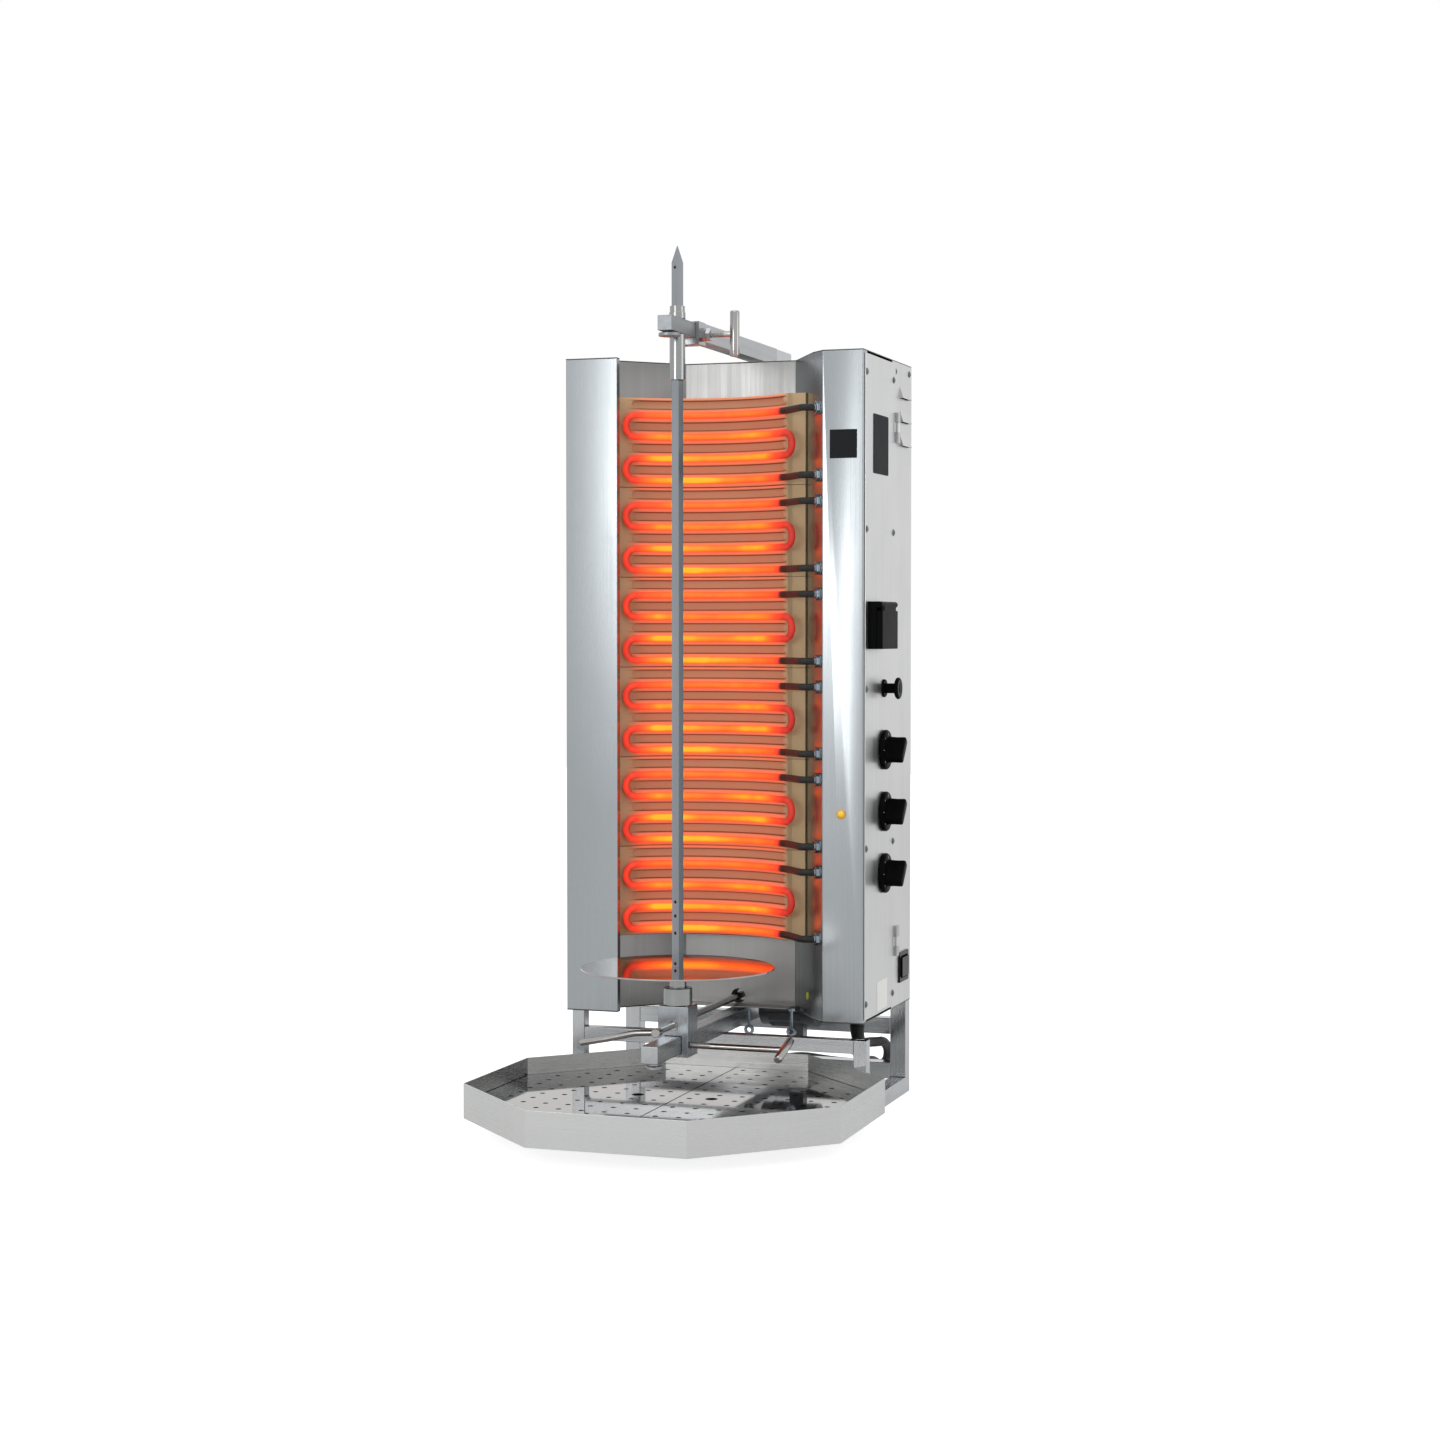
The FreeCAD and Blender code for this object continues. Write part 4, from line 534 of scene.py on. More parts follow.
class Form:
    """A mesh being put together from turned, bent and cut shapes, in metres."""

    dim = 0.55  # painted shading: how much of its glow a tube shows on the side away from the camera
    fall = 0.7  # how softly that painted shading dims round the tube

    def __init__(self, name: str, *finishes: Finish) -> None:
        """Start an empty mesh with its finishes.

        Args:
            name: what the piece is called.
            *finishes: its surfaces, by slot.
        """
        self.name = name
        self.finishes = finishes
        self.bm = bmesh.new()
        self.heat = self.bm.loops.layers.uv.new("heat")

    def face(self, corners: Sequence[bmesh.types.BMVert], slot: int) -> Optional[bmesh.types.BMFace]:
        """Add a face with a finish, leaving out one that has collapsed.

        Args:
            corners: the vertices, in order.
            slot: which finish the face takes.

        Returns:
            The face, or nothing if it has fewer than three corners.
        """
        corners = list(dict.fromkeys(corners))
        if len(corners) < 3:
            return None
        made = self.bm.faces.new(corners)
        made.material_index = slot
        return made

    def rings(self, rings: Sequence[Sequence[Vector]], slot: int = 0, closed: bool = True) -> list[list]:
        """Skin a row of equal rings, with both ends filled.

        Args:
            rings: the corners of each ring.
            slot: which finish the skin takes.
            closed: whether the two ends are filled.

        Returns:
            The rows of vertices.
        """
        rows = [[self.bm.verts.new(p) for p in ring] for ring in rings]
        count = len(rows[0])
        for low, high in zip(rows, rows[1:]):
            for k in range(count):
                n = (k + 1) % count
                self.face((low[k], low[n], high[n], high[k]), slot)
        if closed:
            self.face(rows[0][::-1], slot)
            self.face(rows[-1], slot)
        return rows

    def turned(
        self, base: Point, heading: Vector, profile: Profile, sides: int = 40, slot: int = 0,
        first: float = 0.0, closed: bool = True,
    ) -> "Form":
        """Turn a profile about an axis.

        Args:
            base: the start of the axis.
            heading: the way that it runs.
            profile: distances along the axis and radii, in metres.
            sides: how many flats make the round.
            slot: which finish it takes.
            first: the turn of the first corner, in radians.
            closed: whether the ends are filled.

        Returns:
            The form itself.
        """
        base, heading = Vector(base), Vector(heading).normalized()
        side = heading.orthogonal().normalized() if abs(heading.z) < 0.99 else Vector((1, 0, 0))
        up = heading.cross(side)
        rings = []
        for along, radius in profile:
            angles = [first + 2 * math.pi * k / sides for k in range(sides)]
            rings.append(
                [base + heading * along + (side * math.cos(a) + up * math.sin(a)) * radius for a in angles]
            )
        self.rings(rings, slot, closed)
        return self

    def block(self, low: Point, high: Point, slot: int = 0, turn: Optional[Matrix] = None) -> "Form":
        """Add a block between two corners, turned about its middle if asked.

        Args:
            low: the lowest corner.
            high: the highest corner.
            slot: which finish it takes.
            turn: a turn about the block's middle.

        Returns:
            The form itself.
        """
        low, high = Vector(low), Vector(high)
        middle = (low + high) / 2
        half = (high - low) / 2
        rings = []
        for z in (-1, 1):
            ring = []
            for x, y in ((-1, -1), (1, -1), (1, 1), (-1, 1)):
                p = Vector((x * half.x, y * half.y, z * half.z))
                ring.append(middle + (turn @ p if turn else p))
            rings.append(ring)
        self.rings(rings, slot)
        return self

    def tube(
        self, points: Sequence[Vector], radii: Sequence[float], sides: int = 14, slot: int = 0,
        heats: Optional[Sequence[float]] = None, front: Optional[Vector] = None,
    ) -> "Form":
        """Sweep a round along points.

        Args:
            points: the line that it follows.
            radii: its radius at each point.
            sides: how many flats make the round.
            slot: which finish it takes.
            heats: how hot each point is, for the element's map.
            front: the side painted brightest, towards the camera; the glow is painted dimmer away from it.

        Returns:
            The form itself.
        """
        headings = []
        for i in range(len(points)):
            a, b = points[max(0, i - 1)], points[min(len(points) - 1, i + 1)]
            headings.append((b - a).normalized())
        side = (front or Vector((0, 0, 1))).cross(headings[0]).normalized()
        if side.length < 0.5:
            side = headings[0].orthogonal().normalized()
        rings, shares = [], []
        for point, heading, radius in zip(points, headings, radii):
            side = (side - heading * side.dot(heading)).normalized()
            up = heading.cross(side)
            ring, share = [], []
            for k in range(sides):
                a = 2 * math.pi * k / sides
                out = side * math.cos(a) + up * math.sin(a)
                ring.append(point + out * radius)
                # painted shading: the glow dims on the side of the tube away from the camera
                share.append(
                    self.dim + (1 - self.dim) * max(0.0, out.dot(front)) ** self.fall if front else 1.0
                )
            rings.append(ring)
            shares.append(share)
        rows = self.rings(rings, slot)
        if heats:
            value = {}
            for row, share, heat in zip(rows, shares, heats):
                for vert, part in zip(row, share):
                    value[vert] = (heat, part)
            for face in {f for row in rows for v in row for f in v.link_faces}:
                for loop in face.loops:
                    loop[self.heat].uv = value[loop.vert]
        return self

    def made(self, sharp: float = CRISP) -> bpy.types.Object:
        """Close the mesh, smooth its rounds and hand over the object.

        Args:
            sharp: the angle in degrees past which an edge stays crisp.

        Returns:
            The new object, at the origin.
        """
        bmesh.ops.remove_doubles(self.bm, verts=self.bm.verts, dist=1e-6)
        bmesh.ops.recalc_face_normals(self.bm, faces=self.bm.faces)
        mesh = bpy.data.meshes.new(self.name)
        crease(self.bm, sharp)
        self.bm.to_mesh(mesh)
        self.bm.free()
        for finish in self.finishes:
            mesh.materials.append(finish.material())
        return linked(self.name, mesh)


def crease(bm: bmesh.types.BMesh, sharp: float) -> None:
    """Smooth every face and keep the edges past an angle crisp.

    Args:
        bm: the mesh.
        sharp: the angle in degrees past which an edge stays crisp.
    """
    limit = math.radians(sharp)
    for face in bm.faces:
        face.smooth = True
    for edge in bm.edges:
        edge.smooth = len(edge.link_faces) == 2 and edge.calc_face_angle(0.0) < limit


def bevelled(piece: bpy.types.Object, width: float, segments: int = 2) -> bpy.types.Object:
    """Round a piece's crisp edges with a modifier.

    Args:
        piece: what is rounded.
        width: how far the round reaches, in metres.
        segments: how many faces make the round.

    Returns:
        The piece.
    """
    soft = piece.modifiers.new("edge_round", "BEVEL")
    soft.width = width
    soft.segments = segments
    soft.limit_method = "ANGLE"
    soft.angle_limit = math.radians(CRISP)
    soft.harden_normals = True
    soft.use_clamp_overlap = True
    return piece


def folded(bm: bmesh.types.BMesh, radius: float) -> None:
    """Give the long upright folds of a sheet their outer radius.

    Args:
        bm: the sheet's mesh.
        radius: the outer radius of a fold, in metres.
    """
    tall, broad, bent = 0.5, 0.012, 0.3  # metres, square metres and radians
    folds = []
    for edge in bm.edges:
        rise = abs(edge.verts[0].co.z - edge.verts[1].co.z)
        if rise > tall and len(edge.link_faces) == 2 and min(f.calc_area() for f in edge.link_faces) > broad:
            if edge.is_convex and edge.calc_face_angle(0.0) > bent:
                folds.append(edge)
    bmesh.ops.bevel(
        bm, geom=folds, offset=radius, offset_type="OFFSET", segments=5, profile=0.5, affect="EDGES"
    )


def copied(
    node: str, finish: Finish, width: float = 0.0004, segments: int = 2, fold: float = 0.0
) -> bpy.types.Object:
    """A merged copy of a CAD node with rounded edges, which then stands for the node.

    Args:
        node: the CAD node's name.
        finish: the surface it takes.
        width: the edge round, in metres.
        segments: how many faces make the round.
        fold: the outer radius of its long upright folds, in metres.

    Returns:
        The new object.
    """
    merge, flat = 2e-5, 0.8  # metres between doubles, and degrees between faces that are one flat
    bm = bmesh.new()
    bm.from_mesh(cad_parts[node].data)
    bmesh.ops.remove_doubles(bm, verts=bm.verts, dist=merge)
    bmesh.ops.dissolve_limit(bm, angle_limit=math.radians(flat), verts=bm.verts, edges=bm.edges)
    if fold:
        folded(bm, fold)
    crease(bm, CRISP)
    mesh = bpy.data.meshes.new(node + "_dressed")
    bm.to_mesh(mesh)
    bm.free()
    mesh.materials.append(finish.material())
    made = linked(node + "_dressed", mesh)
    if width:
        bevelled(made, width, segments)
    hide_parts(node)
    return made


def settle(piece: bpy.types.Object, body: str, slot: str, *nodes: str) -> bpy.types.Object:
    """Put a piece on its body and hide the CAD nodes that it stands for.

    Args:
        piece: the finished piece.
        body: the body that it rides on.
        slot: the name of its material slot; not used.
        *nodes: the CAD nodes that it stands for.

    Returns:
        The piece.
    """
    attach(piece, body)
    if nodes:
        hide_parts(*nodes)
    LOG.info("%s rides on %s with %d faces", piece.name, body, len(getattr(piece.data, "polygons", [])))
    return piece


def arc(centre: Vector, first: Vector, second: Vector, start: float, end: float, steps: int) -> list[Vector]:
    """Points round a centre, from one angle to another in radians."""
    angles = [start + (end - start) * k / steps for k in range(steps + 1)]
    return [centre + first * math.cos(a) + second * math.sin(a) for a in angles]


def eased(points: Sequence[Vector], radii: Sequence[float], steps: int = 8) -> list[Vector]:
    """Straight runs with an arc in each corner.

    Args:
        points: the ends and corners.
        radii: the arc in each corner.
        steps: how many chords make an arc.

    Returns:
        The points of the eased line.
    """
    straight = 1e-3  # radians
    line = [points[0]]
    for before, corner, after, radius in zip(points, points[1:], points[2:], radii):
        into, away = (corner - before).normalized(), (after - corner).normalized()
        half = into.angle(away) / 2
        reach = radius * math.tan(half)
        middle = corner + (away - into).normalized() * (radius / math.cos(half))
        start, end = corner - into * reach, corner + away * reach
        a, b = start - middle, end - middle
        for k in range(steps + 1):
            spoke = a.normalized().slerp(b.normalized(), k / steps) if a.angle(b) > straight else None
            line.append(middle + spoke * radius if spoke else start)
    line.append(points[-1])
    return line


def hex_corner(flat: float) -> float:
    """The radius of a hexagon's corners, from its middle to a flat."""
    return flat / math.cos(math.pi / 6)


def threaded(
    start: float, end: float, crest: float = 0.0045, root: float = 0.0041
) -> list[tuple[float, float]]:
    """The profile of a screw's thread along its axis.

    Args:
        start: where the thread starts.
        end: where no further groove starts.
        crest: the radius over the thread.
        root: the radius in its grooves.

    Returns:
        Distances and radii, in metres.
    """
    pitch, flank = 0.0014, 0.0004
    made, at = [], start
    while at < end:
        made += [(at, crest), (at + flank, root), (at + 2 * flank, crest)]
        at += pitch
    return made


def domed(length: float, dome: Profile) -> list[tuple[float, float]]:
    """The profile of a bar with the same dome at both ends."""
    return [*dome, *((length - a, r) for a, r in reversed(dome))]


# ---- geometry trees for what repeats ----


class Repeat:
    """A Geometry Nodes tree with named sizes that is run once and kept as a plain mesh."""

    def __init__(self, name: str, finish: Finish) -> None:
        """Open a tree with its two ends.

        Args:
            name: what the tree is called.
            finish: the surface of what it makes.
        """
        self.tree = bpy.data.node_groups.new(name, "GeometryNodeTree")
        self.graph = Graph(self.tree)
        self.finish = finish
        self.values: dict[str, object] = {}
        self.tree.interface.new_socket("Geometry", in_out="INPUT", socket_type="NodeSocketGeometry")
        self.tree.interface.new_socket("Geometry", in_out="OUTPUT", socket_type="NodeSocketGeometry")
        self.entry = self.graph.add("NodeGroupInput")

    def size(self, name: str, value: object, kind: str = "Float") -> bpy.types.NodeSocket:
        """Add a named input.

        Args:
            name: what the size is called.
            value: what it is set to on the modifier.
            kind: Float, Int, Vector or Object.

        Returns:
            The socket inside the tree.
        """
        socket = self.tree.interface.new_socket(name, in_out="INPUT", socket_type="NodeSocket" + kind)
        self.values[socket.identifier] = value
        return self.entry.outputs[name]

    def copies(
        self, points: bpy.types.NodeSocket, one: bpy.types.Object, **more: object
    ) -> bpy.types.NodeSocket:
        """A copy of one piece at each point, with any further inputs of its node.

        Args:
            points: where the copies go.
            one: the piece that is copied.
            **more: further inputs of the node that places them.

        Returns:
            The copies, not yet realised.
        """
        part = self.size("Piece", one, "Object")
        info = self.graph.add("GeometryNodeObjectInfo", {"Object": part, "As Instance": True})
        inputs = {"Points": points, "Instance": info.outputs["Geometry"], **more}
        return self.graph.add("GeometryNodeInstanceOnPoints", inputs).outputs[0]

    def run(self, host: bpy.types.Object, result: bpy.types.NodeSocket) -> bpy.types.Object:
        """Close the tree, run it on a host and keep what it makes.

        Args:
            host: the object that the tree works on.
            result: the geometry that comes out.

        Returns:
            The host with a plain mesh and no modifier.
        """
        whole = self.graph.add("GeometryNodeRealizeInstances", {"Geometry": result})
        inputs = {"Geometry": whole.outputs[0], "Material": self.finish.material()}
        coated = self.graph.add("GeometryNodeSetMaterial", inputs)
        self.graph.add("NodeGroupOutput", {0: coated.outputs[0]})
        grow = host.modifiers.new(self.tree.name, "NODES")
        grow.node_group = self.tree
        for key, value in self.values.items():
            grow[key] = value
        depsgraph = bpy.context.evaluated_depsgraph_get()
        grown = host.evaluated_get(depsgraph)
        mesh = bpy.data.meshes.new_from_object(grown, preserve_all_data_layers=True, depsgraph=depsgraph)
        host.modifiers.clear()
        host.data = mesh
        mesh.name = host.name
        if not mesh.materials:
            mesh.materials.append(self.finish.material())
        return host


def stacked(one: bpy.types.Object, name: str, finish: Finish, count: int, pitch: float) -> bpy.types.Object:
    """Repeat one piece upwards.

    Args:
        one: the lowest piece, used up by this.
        name: what the stack is called.
        finish: the surface of all of them.
        count: how many there are.
        pitch: the rise from one to the next, in metres.

    Returns:
        The stack as one mesh.
    """
    host = linked(name, bpy.data.meshes.new(name))
    repeat = Repeat(name + "_stack", finish)
    number = repeat.size("Count", count, "Int")
    step = repeat.graph.add("ShaderNodeCombineXYZ", {"Z": repeat.size("Pitch", pitch)})
    line = repeat.graph.add("GeometryNodeMeshLine", {"Count": number, "Offset": step.outputs[0]})
    made = repeat.run(host, repeat.copies(line.outputs[0], one))
    bpy.data.objects.remove(one)
    return made


def cloud(name: str, places: Sequence[Point]) -> bpy.types.Object:
    """Loose points as an object, for a tree to work on."""
    mesh = bpy.data.meshes.new(name)
    mesh.from_pydata([tuple(p) for p in places], [], [])
    return linked(name, mesh)


def scattered(
    one: bpy.types.Object, name: str, finish: Finish, places: Sequence[Point], scale: float = 1.0
) -> bpy.types.Object:
    """Repeat one small piece at given places.

    Args:
        one: the piece, made at the origin and used up by this.
        name: what the set is called.
        finish: the surface of all of them.
        places: where each one goes.
        scale: a size factor.

    Returns:
        The set as one mesh.
    """
    host = cloud(name, places)
    repeat = Repeat(name + "_set", finish)
    size = repeat.size("Scale", scale)
    points = repeat.graph.add("GeometryNodeMeshToPoints", {"Mesh": repeat.entry.outputs[0]})
    made = repeat.run(host, repeat.copies(points.outputs[0], one, Scale=size))
    bpy.data.objects.remove(one)
    return made


# ---- mains lead ----


@dataclass
class MainsLead:
    """The rubber lead from its gland to the coil and the plug, with its strain relief.

    The route and the coil are in millimetres and degrees, and the rest is in metres. Inner is the radius of
    the innermost turn, lap what each turn adds, and low and high the heights of the lead's middle. Laps, down
    and up are where the coil widens, comes down to the ground and climbs to the plug, each with the width of
    that change.
    """

    radius: float = 0.0075
    turn_points: int = 16
    inner: float = 56.0
    lap: float = 15.2
    low: float = 7.6
    high: float = 23.0
    laps: Rows = ((360.0, 60.0), (720.0, 60.0))
    down: tuple[float, float] = (40.0, 60.0)
    up: tuple[float, float] = (830.0, 45.0)
    last: float = 870.1
    centre: tuple[float, float] = (92.0, 414.0)
    route: Rows = (
        (203, 121, 129), (203, 121, 118), (203.4, 130, 106), (203, 152, 99), (201, 202, 93), (198, 254, 85),
        (195, 303, 79), (195, 330, 66), (190, 352, 48), (179, 376, 33), (164, 399, 25), (153, 421, 23),
    )
    plug_turn: float = 150.0
    plug_high: float = 22.3
    plug_out: float = 0.0868
    tail: float = 0.0356
    relief_long: float = 0.036
    rib_pitch: float = 0.0028
    rib_rise: float = 0.0004

    def coil(self) -> list[Vector]:
        """The coil's control points: from its inside outwards, flat on the ground.

        Returns:
            The points in metres.
        """
        step = 360.0 / self.turn_points
        swell = 1 / (0.75 + 0.25 * math.cos(math.radians(step)))  # the line runs inside its control points
        points, angle = [], 1.5 * step
        while angle <= self.last:
            radius = (self.inner + self.lap * sum(ramped(angle, *change) for change in self.laps)) * swell
            sunk = ramped(angle, *self.down) - ramped(angle, *self.up)
            height = self.high + (self.low - self.high) * sunk
            a = math.radians(angle)
            points.append(
                mm(self.centre[0] + radius * math.cos(a), self.centre[1] + radius * math.sin(a), height)
            )
            angle += step
        return points

    def line(self, points: Sequence[Vector]) -> bpy.types.Object:
        """A smooth line near its points, still without its thickness.

        Args:
            points: the control points, from the gland to the plug.

        Returns:
            The lead as a curve object.
        """
        curve = bpy.data.curves.new("mains_lead", "CURVE")
        curve.dimensions = "3D"
        curve.resolution_u = 6
        spline = curve.splines.new("NURBS")
        spline.points.add(len(points) - 1)
        for control, point in zip(spline.points, points):
            control.co = (*point, 1.0)
        spline.order_u = 3
        spline.use_endpoint_u = True
        return linked("mains_lead", curve)

    def build(self) -> None:
        """Lay the lead and put its plug and strain relief on it."""
        turn = math.radians(self.plug_turn)
        leave = mm(*self.centre, self.plug_high) + Vector((math.cos(turn), math.sin(turn), 0)) * self.plug_out
        heading = Vector((-math.sin(turn), math.cos(turn), 0))
        foot = leave + heading * self.tail
        run_in = [leave + heading * 0.02, foot + heading * 0.006]
        lead = self.line([mm(*p) for p in self.route] + self.coil() + run_in)
        path = [v.co.copy() for v in bpy.data.meshes.new_from_object(lead).vertices]
        lead.data.bevel_depth = self.radius
        lead.data.bevel_resolution = 4
        lead.data.use_fill_caps = True
        lead.data.materials.append(RUBBER.material())
        settle(lead, "frame", "cord_rubber", "mains_cord", "cord_coil")
        relief = self.relief(path)
        plug = self.plug(foot, heading)

    def relief(self, path: Sequence[Vector]) -> bpy.types.Object:
        """The ribbed sleeve that tapers onto the lead under its gland.

        Args:
            path: the points of the lead, from its gland.

        Returns:
            The sleeve.
        """
        root, wide, taper = 0.0112, 0.0108, 0.0027
        reach, line, radii = 0.0, [path[0] + Vector((0, 0, 0.001))], [root]
        for a, b in zip(path, path[1:]):
            reach += (b - a).length
            if reach > self.relief_long:
                break
            rib = self.rib_rise if int(reach / self.rib_pitch) % 2 else 0.0
            line.append(b)
            radii.append(wide - taper * reach / self.relief_long + rib)
        return settle(Form("lead_relief", GLAND).tube(line, radii, 24).made(60), "frame", "gland_plastic")

    def plug(self, foot: Vector, heading: Vector) -> bpy.types.Object:
        """The round industrial plug with its ribbed grip, collar and pins.

        Args:
            foot: where the lead enters the plug.
            heading: the way that the plug points.

        Returns:
            The plug.
        """
        form = Form("lead_plug", RUBBER, BLACK_FACE, SOCKET_PINS)
        profile = [(0.0, 0.0079), (0.003, 0.0092), (0.03, 0.0112), (0.034, 0.0125), (0.042, 0.018)]
        ribs, first_rib, rib_step, pins = 6, 0.044, 0.0056, 5
        for k in range(ribs):
            start = first_rib + k * rib_step
            profile += [
                (start, 0.0182), (start + 0.0008, 0.0192), (start + 0.0034, 0.0192), (start + 0.0042, 0.0182)
            ]
        profile += [
            (0.0795, 0.0186), (0.083, 0.0216), (0.085, 0.022), (0.094, 0.022), (0.0945, 0.0212),
            (0.1165, 0.0212), (0.118, 0.0205), (0.118, 0.0188), (0.09, 0.0186),
        ]
        form.turned(foot, heading, profile, 48)
        form.turned(foot, heading, [(0.0896, 0.0186), (0.0905, 0.0184)], 40, 1)
        side = heading.orthogonal().normalized()
        pin = [(0.09, 0.0024), (0.1125, 0.0024), (0.114, 0.0014)]
        for k in range(pins):
            spin = Matrix.Rotation(2 * math.pi * k / pins + 0.4, 3, heading)
            form.turned(foot + spin @ side * 0.0115, heading, pin, 16, 2)
        key = foot + heading * 0.1
        form.block(key + Vector((-0.003, -0.003, -0.0222)), key + Vector((0.003, 0.003, -0.0205)))
        return settle(form.made(40), "frame", "cord_rubber", "mains_plug")


# ---- frame, arms and casing ----


@dataclass
class TubeFrame:
    """The welded frame of square tube, with its arms and mast.

    The rails' front ends come to rail_end, and a fillet stops short of the tube's sides by weld.
    """

    corner: float = 0.0022
    tube: float = 0.02
    rail_end: float = -0.130
    fillet: float = 0.006
    weld: float = 0.0015

    def build(self) -> None:
        """Round the corners of the tubes and brush them lengthwise."""
        for node, finish in (
            ("base_rails", TUBE_Y), ("frame_posts", TUBE_Z), ("cross_tubes", TUBE_X), ("lower_arm", TUBE_Y),
            ("mast", TUBE_Z), ("upper_arm", TUBE_ARM_PAINTED_DARKER),
        ):
            tubes = settle(copied(node, finish, self.corner, 3), "frame", "frame_steel")
            if node == "base_rails":
                self.drawn_back(tubes)
        self.fillets()

    def drawn_back(self, rails: bpy.types.Object) -> None:
        """Draw the front ends of the rails back under the tray, where they are out of sight.

        Args:
            rails: the dressed rails.
        """
        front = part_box("base_rails")[0].y
        for vertex in rails.data.vertices:
            if vertex.co.y < front + self.tube:
                vertex.co.y += self.rail_end - front

    def fillets(self) -> None:
        """The rounded inner corners where the front cross tube meets its posts."""
        low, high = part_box("cross_tubes")
        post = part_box("frame_posts")[0]
        top = high.z - self.tube
        radius, steps = self.fillet, 6
        form = Form("corner_fillets", TUBE_X)
        for x, way in ((low.x, 1), (high.x, -1)):
            outline = [Vector((x, post.y, top)), Vector((x + way * radius, post.y, top))]
            for k in range(1, steps + 1):
                a = math.pi / 2 * k / steps
                outline.append(
                    Vector((x + way * radius * (1 - math.sin(a)), post.y, top - radius * (1 - math.cos(a))))
                )
            depths = (self.weld, self.tube - self.weld)
            form.rings([[p + Vector((0, depth, 0)) for p in outline] for depth in depths])
        settle(form.made(), "frame", "frame_steel")


@dataclass
class Casing:
    """The folded sheet casing with its bare badge and its earth spot.

    The badge's corners are given across and upwards, in metres.
    """

    edge: float = 0.0006
    fold: float = 0.0018
    badge_low: tuple[float, float] = (0.1828, 0.9765)
    badge_high: tuple[float, float] = (0.2242, 1.0185)
    spot: tuple[float, float, float] = (0.1345, 0.0886, 0.176)

    def build(self) -> None:
        """Dress each sheet and lay the small parts on it."""
        sheets = (
            ("left_wing", CASING, "casing_steel"),
            ("cavity_liner", LINER_PAINTED_DARKER, "liner_steel"),
            ("control_box", CASING, "casing_steel"),
            ("side_panel_rear", CASING_PAINTED_LIGHTER, "casing_steel"),
            ("top_cap", CAP_PAINTED_SHADE, "cap_trim"),
            ("bottom_plate", CAP_PAINTED_SHADE, "cap_trim"),
            ("back_panel", CASING_PAINTED_LIGHTER, "casing_steel"),
        )
        for node, finish, slot in sheets:
            fold = self.fold if node in ("left_wing", "control_box") else 0.0
            settle(copied(node, finish, self.edge, 2, fold), "frame", slot)
        self.blanks()

    def blanks(self) -> None:
        """The bare badge on the front and the round earth spot on the slanted strip."""
        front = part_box("left_wing")[0].y
        badge = Form("blank_badge", BADGE)
        (left, foot), (right, top) = self.badge_low, self.badge_high
        badge.block((left, front - 0.0009, foot), (right, front, top))
        settle(bevelled(badge.made(), 0.0004), "frame", "black_plastic")
        low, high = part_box("control_box")
        fold = Vector((0.149, front + 0.026, 0))
        way = (fold - Vector((low.x, high.y, 0))).normalized()
        out = Vector((way.y, -way.x, 0))
        if out.y > 0:
            out = -out
        spot = Form("earth_spot", SPOT)
        spot.turned(
            Vector(self.spot) - out * 0.0004, out, [(0.0, 0.006), (0.0009, 0.006), (0.0011, 0.0056)], 32
        )
        settle(spot.made(), "frame", "lamp_lens")


@dataclass
class Screws:
    """Small pan-head screws on the side panels.

    Their places are in millimetres, backwards and upwards; the faces are the panels' own, in metres.
    """

    head: float = 0.0041
    washer: float = 0.0053
    high: float = 0.0021
    recess: tuple[float, float] = (0.0021, 0.00045)
    door_face: float = 0.2359
    rear_face: float = 0.234
    on_door: Rows = (
        (50.5, 1103), (50.5, 873), (50.5, 638), (50.5, 403), (50.5, 173), (203, 1104), (203, 873), (203, 403),
        (203, 170),
    )
    on_rear: Rows = ((220.5, 1119), (303.5, 1122))

    def screw(self) -> bpy.types.Object:
        """One head on its washer, facing +X, with a cross recess.

        Returns:
            The screw at the origin, to be repeated.
        """
        form = Form("screw", SCREW)
        head, high, (long, wide) = self.head, self.high, self.recess
        form.turned((0, 0, 0), Axis.X.vector, [(0.0, self.washer), (0.0005, self.washer), (0.0006, head)], 20)
        form.turned(
            (0, 0, 0), Axis.X.vector, [(0.0005, head), (high * 0.6, head * 0.93), (high, head * 0.6)], 20
        )
        for spin in (0.3, 0.3 + math.pi / 2):
            turn = Matrix.Rotation(spin, 3, "X")
            form.block((high - 0.0004, -long, -wide), (high + 0.00015, long, wide), 0, turn)
        return form.made()

    def build(self) -> None:
        """Scatter the screws on the door and on the fixed rear panel."""
        self.put("door_screws", self.door_face, self.on_door, "door")
        self.put("rear_screws", self.rear_face, self.on_rear, "frame")

    def put(self, name: str, x: float, places: Sequence[tuple[float, float]], body: str) -> None:
        """Scatter one set of screws on a body."""
        points = [(x, y / 1000, z / 1000) for y, z in places]
        settle(scattered(self.screw(), name, SCREW, points), body, "zinc_hardware")


# ---- heated wall ----


